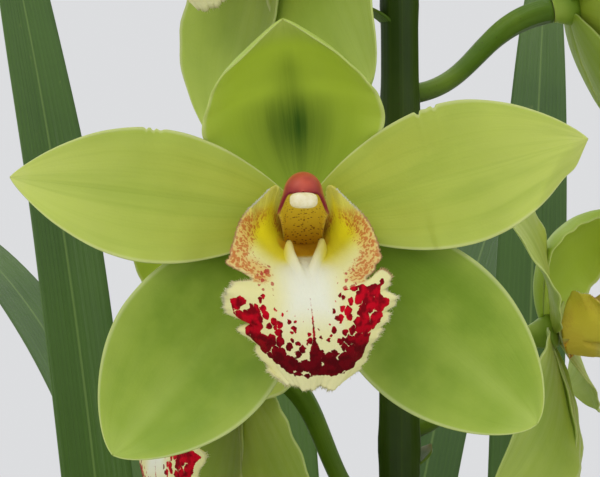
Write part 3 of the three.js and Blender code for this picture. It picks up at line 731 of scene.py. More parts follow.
# %% Column materials
def column_material():
    """A brick-red back blended into an ochre, dotted hollow, with a crimson edge."""
    made, tree, shader = material(
        "column_skin", Specular_IOR_Level=0.3, Subsurface_Weight=0.15,
        Subsurface_Radius=(1.0, 0.6, 0.2), Subsurface_Scale=0.0008,
    )
    along, under, edge = values_of(tree, "along", "under", "edge")
    where = place_of(tree)
    _, cloud = mottle(where, 320.0)
    back = ramp(plus(along, times(cloud, 0.12)), [
        (0.0, (176, 178, 70)), (0.35, (186, 150, 70)), (0.7, (184, 84, 50)), (0.9, (200, 88, 62)),
        (1.08, (196, 84, 66)),
    ])
    inside = ramp(along, [
        (0.0, (210, 164, 32)), (0.3, (226, 198, 52)), (0.75, (230, 210, 68)),
        (1.0, (234, 218, 108)),
    ])
    dots = out(add(tree, "TexVoronoi", Vector=where, Scale=1250.0, Randomness=1.0))
    reach = fade(along, 0.75, 0.1, 0.14, 0.3)
    dotted = fade(minus(reach, dots), -0.05, 0.08, 0.0, 0.85)
    inside = tint(inside, dotted, 110, 36, 18)
    back = tint(back, fade(cloud, 0.42, 0.62, 0.0, 0.4), 158, 52, 44)
    skin = blend(under, back, inside)
    skin = tint(skin, edge, 126, 6, 30)
    fill(shader, Base_Color=skin, Roughness=fade(cloud, 0.3, 0.7, 0.42, 0.56))
    fill(shader, Normal=bump(cloud, 0.0002, 0.4))
    return made


def cap_material():
    """Cream, with a cloudy, yellower mottle."""
    made, tree, shader = material("cap_skin", Specular_IOR_Level=0.4, Coat_Weight=0.1, Coat_Roughness=0.3)
    where = place_of(tree)
    cloudy, cloud = mottle(where, 700.0, 0.3, 0.7)
    skin = blend(cloudy, colour(238, 230, 194), colour(224, 211, 156))
    fill(shader, Base_Color=skin, Roughness=fade(cloud, 0.3, 0.7, 0.34, 0.5))
    fill(shader, Normal=bump(cloud, 0.00015, 0.4))
    return made


COLUMN_SKIN, CAP_SKIN = column_material(), cap_material()
print("column and cap materials ready")


# %% [markdown]
# ### Stem, leaf and bulb
# The flower stem is deep green with fine ridges, and its stalks are lighter, with painted light
# on their upper sides. Leaves are long straps with parallel veins, a paler keel and darker,
# glossier upper faces. The bulbs are yellow-green under the dry, fibrous bases of old leaves.

# %% Green materials
def stem_material():
    """Deep green blended into the stalks' lighter green, partly painted light on their upper sides,
    with fine streaks, specks and dry ends.
    """
    made, tree, shader = material("stem_skin", Specular_IOR_Level=0.22)
    uv = uv_of(tree)
    where = place_of(tree)
    light, dry = value_of(tree, "light"), value_of(tree, "dry")
    streak, _ = veins(uv, 10.0, 0.1, 3.0, 60.0)
    cloudy, _ = mottle(where, 38.0, 0.33, 0.7)
    deep = blend(cloudy, colour(25, 42, 4), colour(38, 57, 9))
    pale = blend(cloudy, colour(88, 122, 24), colour(122, 150, 40))
    skin = blend(light, deep, pale)
    skin = tint(skin, times(fade(streak, 0.45, 0.8), 0.22), 92, 112, 42)
    speck = out(add(tree, "TexVoronoi", Vector=where, Scale=420.0))
    skin = tint(skin, fade(speck, 0.16, 0.06, 0.0, 0.25), 60, 40, 26)
    skin = blend(dry, skin, blend(streak, colour(150, 128, 74), colour(196, 182, 120)))
    fill(shader, Base_Color=skin, Roughness=fade(streak, 0.3, 0.8, 0.38, 0.6))
    fill(shader, Normal=bump(streak, 0.0004, 0.4))
    return made


def leaf_material():
    """Greens along the leaf, then mottle, streaks, keel, paler back, specks and dry ends."""
    made, tree, shader = material("leaf_skin", Specular_IOR_Level=0.35)
    uv = uv_of(tree)
    u = axis_of(uv, 0)
    where = place_of(tree)
    face, tone, dry = values_of(tree, "face", "tone", "dry")
    streak, across = veins(uv, 15.0, 0.16, 5.0, 90.0)
    base = ramp(u, [
        (0.0, (164, 168, 108)), (0.05, (112, 134, 56)), (0.2, (56, 90, 26)), (0.8, (52, 86, 24)),
        (0.97, (84, 110, 40)), (1.0, (142, 112, 56)),
    ])
    base = tint(base, times(tone, 0.5), 104, 138, 54)
    cloudy, _ = mottle(scaled(where, (1, 1, 0.4)), 22.0, 0.4, 0.75, 0.45)
    base = tint(base, cloudy, 36, 66, 26)
    base = tint(base, fade(streak, 0.5, 0.85, 0.0, 0.3), 88, 122, 50)
    base = tint(base, fade(across, 0.06, 0.0, 0.0, 0.5), 124, 150, 78)
    base = tint(base, fade(face, 1.0, 0.0, 0.0, 0.4), 112, 140, 74)
    specks, _ = mottle(where, 160.0, 0.68, 0.78, 0.3)
    base = tint(base, specks, 150, 156, 84)
    base = blend(dry, base, blend(streak, colour(134, 104, 62), colour(196, 176, 126)))
    fill(shader, Base_Color=base, Roughness=fade(streak, 0.2, 0.9, 0.3, 0.5))
    fill(shader, Normal=bump(streak, 0.0005, 0.45))
    return made


def bulb_material():
    """Yellow-green with darker fibres, blended into papery brown where it is dry."""
    made, tree, shader = material("bulb_skin", Specular_IOR_Level=0.4)
    uv = uv_of(tree)
    where = place_of(tree)
    dry = value_of(tree, "dry")
    fibre, _ = veins(uv, 20.0, 0.04, 4.0, 70.0)
    cloudy, _ = mottle(where, 60.0, 0.3, 0.7)
    skin = blend(cloudy, colour(112, 132, 50), colour(150, 160, 78))
    skin = tint(skin, fade(fibre, 0.5, 0.8, 0.0, 0.5), 88, 104, 40)
    papery = blend(fibre, colour(104, 78, 44), colour(196, 172, 122))
    skin = blend(dry, skin, papery)
    fill(shader, Base_Color=skin, Roughness=fade(fibre, 0.3, 0.7, 0.45, 0.7))
    fill(shader, Normal=bump(fibre, 0.0009, 0.6))
    return made


STEM_SKIN, LEAF_SKIN, BULB_SKIN = stem_material(), leaf_material(), bulb_material()
print("stem, leaf and bulb materials ready")


# %% [markdown]
# ### Pot and bark
# The pot is plain fired clay: warm, matt, faintly banded from the wheel, with paler mineral
# bloom low down and on its rim. The bark is brown chips with corky grain and dark sides.

# %% Pot and bark materials
def clay_material():
    """Warm clay by a cloudy noise, with darker grain and mineral bloom low down and at the rim."""
    made, tree, shader = material("clay_body", Specular_IOR_Level=0.25)
    where = place_of(tree)
    height = axis_of(where, 2)
    _, cloudy = mottle(where, 14.0)
    grain = noise(where, 900.0, 3.0, 0.6)
    bands = noise(scaled(where, (2, 2, 260)), 1.0, 3.0, 0.5)
    body = ramp(cloudy, [
        (0.3, (158, 88, 60)), (0.5, (181, 106, 75)), (0.72, (196, 126, 94)),
    ])
    body = tint(body, fade(grain, 0.55, 0.75, 0.0, 0.35), 140, 74, 50)
    low = plus(fade(height, 0.06, 0.0), fade(height, 0.15, 0.178, 0.0, 0.5))
    bloom = times(low, fade(cloudy, 0.42, 0.7))
    body = tint(body, times(bloom, 0.7), 214, 186, 160)
    relief = plus(times(bands, 0.6), times(grain, 0.4))
    fill(shader, Base_Color=body, Roughness=fade(cloudy, 0.3, 0.7, 0.78, 0.92))
    fill(shader, Normal=bump(relief, 0.0006, 0.5))
    return made


def bark_material():
    """Brown by each chip's tone, with dark layers and pits and pale cork on its faces."""
    made, tree, shader = material("bark_skin", Specular_IOR_Level=0.25)
    where = place_of(tree)
    tone, grainy = value_of(tree, "tone"), value_of(tree, "grain")
    layers = noise(scaled(where, (1, 1, 3)), 170.0, 5.0, 0.65)
    pits = out(add(tree, "TexVoronoi", Vector=where, Scale=260.0))
    brown = ramp(tone, [
        (0.0, (66, 42, 28)), (0.35, (98, 62, 40)), (0.7, (132, 88, 58)), (1.0, (158, 116, 82)),
    ])
    brown = tint(brown, fade(layers, 0.4, 0.7, 0.0, 0.6), 58, 36, 24)
    brown = tint(brown, fade(pits, 0.25, 0.05, 0.0, 0.5), 40, 25, 17)
    brown = tint(brown, times(grainy, 0.4), 176, 134, 98)
    fill(shader, Base_Color=brown, Roughness=fade(layers, 0.3, 0.7, 0.8, 0.95))
    relief = plus(layers, times(pits, 0.5))
    fill(shader, Normal=bump(relief, 0.0012, 0.7))
    return made


CLAY, BARK_SKIN = clay_material(), bark_material()
print("clay and bark materials ready")


# %% [markdown]
# ## The blooms
# Every bloom has the same parts in its own frame: X to the viewer's right, Y away from the
# viewer and Z up. The table gives where each one sits on the spike and how it is turned.
# The same numbers placed the plain solids, so the finer pieces fall on them.

# %% Where the blooms are
BLOOM_ROWS = [
    # name, stalk's height on the stem, middle, (faces, nod, roll), (petals, sepals, upper sepal) opened,
    # sepals spread, size
    ("bloom_1", 392, (-20, -20, 408), (-104, 4, 3), (-8, -6, 0), 4, 1.0),
    ("bloom_2", 418, (26, -88, 436), (22, 3, -4), (0, -8, 0), 0, 0.98),
    ("bloom_3", 474, (-24, -18, 509), (-62, 4, -8), (-14, -6, 0), 8, 0.98),
    ("bloom_4", 497, (55, -12, 520), (81, -16, 31), (-18, -60, 50), 15, 0.95),
    ("bloom_5", 530, (-7, -86, 548), (0, 0, 0), (0, 0, 0), 0, 1.0),
    ("bloom_6", 577, (60, -16, 600), (96, -10, -20), (20, 34, 16), 0, 0.97),
    ("bloom_7", 602, (-15, -50, 631), (-53, 0, -6), (-8, -10, 0), 18, 1.0),
    ("bloom_8", 662, (-21, -8, 694), (-132, -6, 4), (-8, -10, 0), 4, 0.93),
    ("bloom_9", 680, (42, -68, 706), (50, -6, -4), (-4, -8, 0), 3, 0.92),
]
BLOOM_KEYS = ("name", "node", "centre", "turn", "open", "spread", "size")
BLOOMS = [dict(zip(BLOOM_KEYS, row)) for row in BLOOM_ROWS]
FRONT = "bloom_5"
# Rows and columns of each form's grid, on the front bloom and on the others
GRIDS = {
    "petal": ((190, 36), (40, 18)),
    "sepal": ((90, 36), (40, 18)),
    "dorsal": ((90, 36), (40, 18)),
    "lip": ((300, 151), (72, 49)),
    "column": ((90, 56), (34, 28)),
    "cap": ((26, 36), (14, 18)),
}


def by_distance(bloom, near, far):
    """near for the front bloom, which the picture shows closely, and far for the others."""
    return near if bloom["name"] == FRONT else far


def turning(degrees):
    """The rotation of a bloom: rolled in its plane, nodded, then faced about the upright."""
    faces, nod, roll = np.radians(degrees)
    c, s = np.cos([faces, nod, roll]), np.sin([faces, nod, roll])
    about_z = np.array([[c[0], -s[0], 0], [s[0], c[0], 0], [0, 0, 1]])
    about_x = np.array([[1, 0, 0], [0, c[1], -s[1]], [0, s[1], c[1]]])
    about_y = np.array([[c[2], 0, s[2]], [0, 1, 0], [-s[2], 0, c[2]]])
    return about_z @ about_x @ about_y


def placed(part, bloom):
    """The part, taken from the bloom's own frame to the plant's: scaled, turned and moved."""
    p = (part["p"] * bloom["size"]) @ turning(bloom["turn"]).T + np.array(bloom["centre"])
    return {**part, "p": p}


print("blooms:", len(BLOOMS))


# %% [markdown]
# ### Petals and sepals
# A tepal is a strip that leans towards the viewer more and more (or less and less) along its
# length, so its middle line is a circular arc. Its section is an arc too, curled forward by its
# cup. The half width rises on a quarter sine and falls on a blunt power of a cosine. The finer
# copy adds what the plain solid leaves out: waved margins, a groove down the middle, a small
# hooked tip and, on the front bloom's petals, the nicks, the crease and the folded corner.

# %% Tepals' shapes
# turn is its direction in the bloom's plane, in degrees; widest is the place along of its full
# width, and root the share of it at the foot; lean is its tilt towards the viewer at foot and tip,
# and cup half the angle of its section there; back is how far it stands behind the bloom's middle
TEPALS = {
    "dorsal": dict(
        turn=96, length=50, width=43, widest=0.42, root=0.17, tip=0.72,
        lean=(-9, 74), cup=(38, 62), wave=0.25, back=2.2, green=0.48,
    ),
    "petal_left": dict(
        turn=172.7, length=61, width=29.5, widest=0.5, root=0.22, tip=0.8,
        lean=(14, -4), cup=(10, 24), wave=0.7, back=-0.6, green=0.0,
    ),
    "petal_right": dict(
        turn=14.9, length=61, width=31.5, widest=0.52, root=0.22, tip=0.8,
        lean=(14, -6), cup=(10, 20), wave=0.8, back=-0.6, green=0.0,
    ),
    "sepal_left": dict(
        turn=231.6, length=63.5, width=38, widest=0.55, root=0.17, tip=0.62,
        lean=(4, 14), cup=(14, 34), wave=0.35, back=1.4, green=1.0,
    ),
    "sepal_right": dict(
        turn=-41.8, length=65, width=36, widest=0.54, root=0.17, tip=0.58,
        lean=(4, 10), cup=(14, 30), wave=0.35, back=1.4, green=1.0,
    ),
}
# What the front bloom has of its own: a nick is (place, side, depth, reach), with a depth below 0
# for a bulge, a crease likewise, and a folded corner is (place, side, slope)
FRONT_TEPALS = {
    "dorsal": dict(
        tip=0.62, length=49, cup=(24, 64),
        nicks=[(0.82, 1, -0.17, 0.13), (0.84, -1, -0.06, 0.11)],
    ),
    "petal_left": dict(
        nicks=[(0.52, -1, 0.05, 0.006), (0.545, -1, 0.035, 0.005), (0.495, -1, 0.03, 0.01)],
    ),
    "petal_right": dict(
        nicks=[
            (0.44, 1, 0.07, 0.007), (0.5, 1, 0.05, 0.006), (0.47, 1, 0.02, 0.012),
            (0.955, -1, -0.3, 0.04),
        ],
        folds=[(0.74, -1, 0.8)],
        creases=[(0.385, -1, 0.7, 0.012)],
    ),
}
# Bells of shade in the upper sepal's hollow: how much, place along, reach along, reach across
HOLLOW = [(0.4, 0.37, 0.16, 0.31), (0.36, 0.22, 0.3, 0.65), (0.22, 0.64, 0.08, 0.13)]
# A tepal's foot stands this many millimetres from the bloom's middle, and half its width never
# falls under this share of the widest
TEPAL_ROOT, NARROWEST = 3.2, 0.012
# Millimetres: the margin's fine wave, the groove down the middle, low ribs, the tip's hook
FINE_WAVE, GROOVE, RIB, HOOK = 0.28, 0.35, 0.07, 1.1
TEPAL_THICK = 0.85
OPENED = ("petal", "sepal", "dorsal")
print("tepals a bloom:", len(TEPALS))


# %% A tepal's surface
def half_width(t, u, v):
    """Half a tepal's width: a quarter sine up to its widest place and a blunt cosine from there,
    less a bell at each nick on its own side."""
    rise = mix(t["root"], 1, np.sin(np.pi / 2 * np.clip(u / t["widest"], 0, 1)) ** 0.85)
    fall = np.cos(np.pi / 2 * np.clip((u - t["widest"]) / (1 - t["widest"]), 0, 1)) ** t["tip"]
    half = t["width"] / 2 * np.where(u < t["widest"], rise, np.maximum(fall, NARROWEST))
    for place, side, depth, reach in t.get("nicks", ()):
        half = half * (1 - depth * bell(u - place, reach) * (np.sign(v) == side))
    return half


def with_relief(lift, half, t, u, v, phase):
    """lift with two waves that grow towards the margin, a groove down the middle that shows as a
    rib behind, low ribs beside it, a step at each crease, and the margin bent back at each fold."""
    edge = np.abs(v) ** 3 * np.sin(np.pi * u)
    wave = t["wave"] * np.sin(2 * np.pi * (2.2 * u + np.where(v > 0, 0.15, 0.6))) * edge
    wave = wave + FINE_WAVE * np.sin(2 * np.pi * (6.3 * u + phase + np.where(v > 0, 0.3, 0.0))) * edge
    groove = -GROOVE * bell(v, 0.06) * np.sin(np.pi * np.clip(u, 0, 0.97))
    ribs = RIB * np.cos(2 * np.pi * 6 * v) * np.sin(np.pi * u) * (1 - np.abs(v))
    lift = lift + wave + groove + ribs
    for place, side, depth, reach in t.get("creases", ()):
        step = np.tanh((u - place) / reach) * bell(u - place, 0.09)
        lift = lift + depth * step * np.clip(side * v, 0, 1) ** 2
    for place, side, slope in t.get("folds", ()):
        line = mix(-1.0, 0.25, (u - place) / (1 - place))
        lift = lift - slope * half * np.clip(line + side * v, 0, None) ** 1.3 * (u > place)
    return lift


def tepal_grid(t, u, v, phase):
    """The tepal's surface at u along and v across, as (rows, columns, 3). Its middle line is an
    arc of the given length, whose lean runs from start to end. Across it lies a second arc, of
    the cup's angle, which is lifted off the first one along its normal."""
    start, end = np.radians(t["lean"])
    now = mix(start, end, u)
    halfway, half_turn = (start + now) / 2, (now - start) / 2
    chord = t["length"] * u * np.sinc(half_turn / np.pi)
    out_along = TEPAL_ROOT + chord * np.cos(halfway)
    forward = chord * np.sin(halfway)
    half = half_width(t, u, v)
    cup = np.radians(mix(*t["cup"], u))
    lateral = half * np.sin(cup * v) / cup
    lift = with_relief(half * (1 - np.cos(cup * v)) / cup, half, t, u, v, phase)
    hook = HOOK * np.clip((u - 0.93) / 0.07, 0, 1) ** 2
    along, across = np.radians(t["turn"]), np.radians(t["turn"] + 90)
    radial = out_along - lift * np.sin(now)
    viewer = forward + lift * np.cos(now) + hook
    x = radial * np.cos(along) + lateral * np.cos(across)
    z = radial * np.sin(along) + lateral * np.sin(across)
    return np.stack([x, t["back"] - viewer, z], -1)


def hollow_shade(u, v, depth):
    """The painted shade in the upper sepal: a sum of bells, less a painted light band on both sides of
    its middle, plus a base that is painted as a yellow-green glow and fades out towards the tip."""
    shade = sum(much * bell(u - place, along) * bell(v, across) for much, place, along, across in HOLLOW)
    painted_light_beside = bell(v, 0.6) - bell(v, 0.15)
    shade = shade - 0.2 * bell(u - 0.53, 0.05) * np.clip(painted_light_beside, 0, 1)
    return depth * shade + 0.3 * (1 - smooth((u - 0.72) / 0.25))


def tepal(t, rows, columns, phase):
    """One tepal as a closed blade, thinner towards its margin. The grid's lines stand closer near
    its ends and its margin."""
    u, v = strip(rows, columns)
    u = mix(u, (1 - np.cos(np.pi * u)) / 2, 0.5)
    v = mix(v, np.sin(np.pi / 2 * v), 0.6)
    P = tepal_grid(t, u, v, phase)
    thickness = TEPAL_THICK * (1 - 0.55 * np.abs(v) ** 5) * (1 - 0.5 * u**8)
    shade = hollow_shade(u, v, t["hood"]) if "hood" in t else 0.0
    return blade(P, thickness, u, v, {"green": t["green"], "hood": shade})


print("hollow's shade at its deepest: %.2f" % hollow_shade(0.37, 0.0, 1.0))


# %% [markdown]
# Each bloom takes its five tepals from the table, opened and spread as its own row says, and
# stands them on a small turned foot.

# %% Tepals
def receptacle():
    """The small turned foot that the tepals stand on. Its outline is (radius, depth), along Y."""
    profile = [
        (0.3, -1.5), (2.6, -1.2), (4.3, -0.5), (4.7, 0.6),
        (4.5, 1.8), (4.0, 3.2), (3.4, 4.8), (3.1, 6.0),
    ]
    rings = turned(profile, 24)[..., [0, 2, 1]]
    return tube(rings, {"green": 1.0, "face": 1.0, "hood": 0.0})


def tepals_of(bloom):
    """All five tepals of a bloom on their receptacle."""
    parts = [receptacle()]
    for k, (name, shape) in enumerate(TEPALS.items()):
        t = {**shape, **by_distance(bloom, FRONT_TEPALS.get(name, {}), {})}
        kind = name.split("_")[0]
        t["lean"] = (t["lean"][0], t["lean"][1] + bloom["open"][OPENED.index(kind)])
        if kind == "sepal":
            t["turn"] = t["turn"] + bloom["spread"] * (1 if "left" in name else -1)
        if kind == "dorsal":
            # The hood's painted glow and shade: full on the front bloom, weaker on the others
            t["hood"] = by_distance(bloom, 1.0, 0.3)
        # Painted light: the other blooms' tepals are made less green, so that their shaded sepals look lit
        t["green"] = t["green"] * by_distance(bloom, 1.0, 0.6)
        rows, columns = by_distance(bloom, *GRIDS[kind])
        parts.append(tepal(t, rows, columns, 0.37 * k + 0.11 * bloom["node"]))
    return [placed(part, bloom) for part in parts]


for bloom in BLOOMS:
    piece(bloom["name"] + "_tepals_fine", tepals_of(bloom), TEPAL_SKIN, "tepal", bloom["name"] + "_tepals")
print("tepals:", counted("tepals"), "triangles")


# %% [markdown]
# ### Lip
# The lip is a trough: each cross-section is a Bezier curve from the middle of its floor up to
# the edge, and the four control points change along the lip. Side lobes rise beside the
# column, a notch parts them from the broad middle lobe, and two keels run down the floor. The
# finer copy ruffles and scallops the middle lobe's margin, and sets short hairs along it.

# %% Lip's shape
LIP_ROWS = np.array([
    # place along, then out, forward and up of the section's four control points
    [0.0, 0, 2.2, -6.6, 3.2, 2.2, -6.6, 5.3, 2.6, -4.6, 5.1, 3.4, -0.6],
    [0.14, 0, 8, -8.9, 6, 8, -9.3, 9.4, 7.4, -3.4, 5.5, 7.4, 6.3],
    [0.28, 0, 12.5, -10.1, 7.2, 12.5, -10.4, 11.4, 11, -4.4, 10, 10.4, 2.6],
    [0.41, 0, 16.2, -11.2, 8, 16.2, -11.4, 11.6, 14.8, -5.6, 13.4, 13, -1.2],
    [0.53, 0, 19.4, -12.6, 8, 19.4, -12.7, 12, 17.6, -8.8, 15.3, 16, -6.6],
    [0.61, 0, 21.4, -14, 7.6, 21.4, -14.1, 12, 19.6, -12, 15.6, 18.4, -10.8],
    [0.67, 0, 22.9, -15.8, 7, 22.9, -15.8, 10.6, 21.8, -14.8, 11.8, 20.8, -13.8],
    [0.73, 0, 24.1, -18.2, 6.4, 24.1, -18, 12, 23.2, -16.6, 16.6, 21.8, -14.9],
    [0.81, 0, 24.9, -22.6, 6.5, 24.9, -22.5, 12.4, 23.6, -21.6, 16.9, 20.6, -20.4],
    [0.89, 0, 24.4, -28, 5.4, 24.4, -27.9, 10, 22.8, -27.2, 13.3, 19.6, -26.2],
    [0.95, 0, 22.8, -32.8, 4, 22.8, -32.7, 7.8, 21.6, -32.3, 10.2, 19, -31.4],
    [1.0, 0, 20.6, -36.6, 2.2, 20.6, -36.6, 4.6, 20.3, -36.2, 6.4, 19.8, -35],
])
# Scallops of the front bloom's margin: side, place along, out, up, width along
SCALLOPS = [
    (-1, 0.55, 0.4, 0.0, 0.03), (-1, 0.6, 1.3, 0.0, 0.018), (-1, 0.775, 1.1, 0.0, 0.025),
    (-1, 0.81, 1.7, 0.0, 0.014), (-1, 0.842, -3.4, 0.0, 0.011), (-1, 0.87, 0.3, 0.0, 0.011),
    (-1, 0.905, -0.5, 0.0, 0.015), (-1, 0.952, -0.1, 0.0, 0.011), (-1, 0.98, 1.7, 0.0, 0.012),
    (1, 0.56, -0.3, 0.0, 0.025), (1, 0.61, -1.4, 0.0, 0.02), (1, 0.708, 0.0, 2.6, 0.015),
    (1, 0.73, 0.9, 0.9, 0.012), (1, 0.75, -1.0, 0.0, 0.009), (1, 0.772, 0.8, 0.0, 0.013),
    (1, 0.806, -1.6, 0.0, 0.012), (1, 0.85, -0.9, 0.0, 0.014), (1, 0.912, 1.0, 0.0, 0.018),
    (1, 0.947, 0.6, 0.0, 0.012),
]
# Scallops of its tip: place across, up, width across
TIP_SCALLOPS = [(0.3, 0.8, 0.12), (0.7, -0.9, 0.2), (-0.12, -0.1, 0.25), (-0.6, 0.3, 0.12)]
# Waves of the lip's margin, as turns along it and size in millimetres
RUFFLES = [(4.5, 1.0), (9.0, 0.5), (16.0, 0.28), (27.0, 0.12)]
SWINGS = [(6.0, 0.45), (12.5, 0.35), (23.0, 0.2)]
FRILLS = [(41.0, 0.16), (63.0, 0.13), (90.0, 0.1)]
TIP_WAVES = [(1.6, 0.25), (3.4, 0.2), (6.3, 0.12)]
# The keels' places aside, left and right near the column and where they meet
KEEL_PLACES, KEELS_MEET = (2.9, 3.9), 1.15
# Millimetres: how far the tip sways aside, the keels' height and half width, the blade's thickness
LIP_SWAY, KEEL_HEIGHT, KEEL_HALF, LIP_THICK = 1.9, 3.3, 0.74, 0.8
print("lip's height: %.1f mm" % (LIP_ROWS[:, 3::3].max() - LIP_ROWS[:, 3::3].min()))


# %% Lip's surface
def along_rows(u):
    """All twelve control numbers at u, by smooth curves through the rows."""
    at = LIP_ROWS[:, 0]
    i = np.clip(np.searchsorted(at, u, side="left"), 1, len(at) - 1)
    before, after = np.maximum(i - 2, 0), np.minimum(i + 1, len(at) - 1)
    span = (at[i] - at[i - 1])[:, None]
    t = ((u - at[i - 1])[:, None] / span).clip(0, 1)
    a, b = LIP_ROWS[i - 1, 1:], LIP_ROWS[i, 1:]
    slope_a = (b - LIP_ROWS[before, 1:]) / (at[i] - at[before])[:, None] * span
    slope_b = (LIP_ROWS[after, 1:] - a) / (at[after] - at[i - 1])[:, None] * span
    return (
        a * (2 * t**3 - 3 * t**2 + 1) + slope_a * (t**3 - 2 * t**2 + t)
        + b * (3 * t**2 - 2 * t**3) + slope_b * (t**3 - t**2)
    )


def waves(t, side, sizes, draw):
    """A sum of sines over t, as (turns, size), with random phases that differ on the two sides."""
    total = 0.0
    for turns, size in sizes:
        total = total + size * np.sin(2 * np.pi * (turns * t + draw.random() + side * draw.random()))
    return total


def keel_ridge(P, u, side):
    """1 on top of the two keels and 0 away from them. They stand highest near the column and draw
    together as they sink. Their ends are cut on a slant, so that an outer corner stands out."""
    near = np.where(side > 0, KEEL_PLACES[1], KEEL_PLACES[0])
    off_ridge = (P[..., 0] - mix(near, KEELS_MEET, smooth((u - 0.2) / 0.4))) / KEEL_HALF
    ridge = np.exp(-np.abs(off_ridge) ** 2.4)
    return ridge * smooth((u - 0.155 + 0.04 * off_ridge) / 0.03) * (1 - smooth((u - 0.22) / 0.42))


def margin_waves(u, v, side, seed, fine):
    """How far a point is pushed forward, out and up. All three are sums of waves that grow with a
    high power of the distance from the middle, so that they stay near the margin."""
    w = np.abs(v)
    front = smooth((u - 0.64) / 0.1)
    draw = np.random.default_rng(seed)
    forward = waves(u, side, RUFFLES, draw) * (0.2 + 0.8 * front) * w**5 * smooth(u / 0.12)
    swing = waves(u, side, SWINGS, draw) * w**5
    frill = waves(u, side, FRILLS, draw) * w**14
    outwards = swing * front + frill * (0.35 + 0.65 * front)
    tip = smooth((u - 0.85) / 0.15) ** 2
    upwards = -0.6 * swing * tip + waves(v, 1.0, TIP_WAVES, draw) * tip * (1 - w**8)
    if fine:
        for one_side, place, out_by, up_by, width in SCALLOPS:
            bulge = bell(u - place, width) * (side == one_side) * w**5
            outwards = outwards + out_by * bulge
            upwards = upwards + up_by * bulge
        for place, up_by, width in TIP_SCALLOPS:
            upwards = upwards + up_by * bell(v - place, width) * tip
    return forward, outwards, upwards


def lip_grid(rows, columns, seed, fine):
    """The lip's surface, its places u along and v across, and its keels. Each side of a section is
    a cubic curve from the middle of the floor up to the edge, through four control points."""
    u, v = np.linspace(0, 1, rows)[:, None], np.linspace(-1, 1, columns)[None, :]
    control = along_rows(u[:, 0]).reshape(rows, 1, 4, 3)
    w = np.abs(v)[..., None]
    P = (
        (1 - w) ** 3 * control[:, :, 0] + 3 * w * (1 - w) ** 2 * control[:, :, 1]
        + 3 * w**2 * (1 - w) * control[:, :, 2] + w**3 * control[:, :, 3]
    )
    side = np.where(v > 0, 1.0, -1.0)
    keel = keel_ridge(P, u, side)
    forward, outwards, upwards = margin_waves(u, v, side, seed, fine)
    x = side * (P[..., 0] + outwards) + LIP_SWAY * smooth((u - 0.3) / 0.6)
    y = -(P[..., 1] + forward)
    z = P[..., 2] + KEEL_HEIGHT * keel + upwards
    return np.stack([x, y, z], -1), u, v, keel


print("waves round the lip's margin:", len(RUFFLES + SWINGS + FRILLS + TIP_WAVES))


# %% [markdown]
# The markings of the lip follow distances, so the mesh carries them at each point: how far it is
# from the margin, across from the middle line and along from the foot, all over the surface in
# millimetres, and how far it is down.

# %% Lip with its distances
def lengths(P, axis):
    """Distance along the grid from its first point, in the direction of axis."""
    step = np.linalg.norm(np.diff(P, axis=axis), axis=-1)
    total = np.cumsum(step, axis=axis)
    return np.insert(total, 0, 0.0, axis=axis)


def nearest(points, line):
    """Each point's distance to the nearest point of a line, in blocks to spare memory."""
    flat = points.reshape(-1, 3)
    blocks = np.array_split(flat, max(1, len(flat) * len(line) // 4_000_000))
    found = [np.sqrt(((block[:, None] - line[None]) ** 2).sum(-1).min(1)) for block in blocks]
    return np.concatenate(found).reshape(points.shape[:-1])


def lip_part(rows, columns, seed, fine):
    """The lip as a closed blade, with the distances that its markings follow."""
    P, u, v, keel = lip_grid(rows, columns, seed, fine)
    across, along = lengths(P, 1), lengths(P, 0)
    middle = slice(columns // 2, columns // 2 + 1)
    values = {
        "rim": nearest(P, np.concatenate([P[:, 0], P[-1], P[:, -1]])),
        "across": across - across[:, middle],
        "along": along[:, middle],
        "low": -P[..., 2],
        "keel": keel,
    }
    thickness = LIP_THICK * (1 - 0.55 * np.abs(v) ** 6)
    return blade(P, thickness, u, v, values), P, u


print("lip's sections:", len(LIP_ROWS))


# %% [markdown]
# Short hairs line the lip's margin and soften its outline against the light. Each is a spike of
# three sides, so that thousands of them stay cheap. They start beyond the lip's claw, a fifth of
# its length from the foot.

# %% Hairs and lips
HAIRS, HAIR_RADIUS, HAIRLESS = (4200, 400), 0.13, 0.2
LIP_SEED, HAIR_SEED = 40, 70


def fringe(P, u, count, seed):
    """Short hairs from random places of the lip's edge. Each stands away from the edge with some
    scatter, and its three foot points lie on a small circle round its root."""
    draw = np.random.default_rng(seed)
    edge = np.concatenate([P[:, 0], P[-1], P[::-1, -1]])
    inner = np.concatenate([P[:, 2], P[-3], P[::-1, -3]])
    share = np.concatenate([u[:, 0], np.ones(P.shape[1]), u[::-1, 0]])
    keep = share > HAIRLESS
    edge, inner, share = edge[keep], inner[keep], share[keep]
    walked = np.concatenate([[0.0], np.cumsum(np.linalg.norm(np.diff(edge, axis=0), axis=1))])
    place = np.interp(draw.random(count) * walked[-1], walked, np.arange(len(edge)))
    i = np.minimum(place.astype(int), len(edge) - 2)
    f = (place - i)[:, None]
    root = edge[i] * (1 - f) + edge[i + 1] * f
    outwards = unit(root - (inner[i] * (1 - f) + inner[i + 1] * f))
    outwards = unit(outwards + 0.5 * draw.normal(size=(count, 3)))
    length = (0.3 + 0.6 * draw.random(count) ** 1.5) * np.where(share[i] > 0.66, 1.25, 0.75)
    sideways = unit(np.cross(outwards, draw.normal(size=(count, 3))))
    other = np.cross(outwards, sideways)
    ring = HAIR_RADIUS * wheel(circle(3), sideways, other)
    ring = root[:, None] - 0.25 * outwards[:, None] + ring
    tip = root + outwards * length[:, None]
    p = np.concatenate([ring, tip[:, None]], 1).reshape(-1, 3)
    faces = np.array([[0, 2, 1], [0, 1, 3], [1, 2, 3], [2, 0, 3]])
    tris = (faces[None] + 4 * np.arange(count)[:, None, None]).reshape(-1, 3)
    n = len(p)
    values = {"along": np.full(n, 40.0), "low": np.repeat(-root[:, 2], 4), "face": np.ones(n)}
    part = {"p": p, "quads": np.zeros((0, 4), int), "tris": tris, "uv": np.zeros((n, 2))}
    return outward({**part, "values": values})


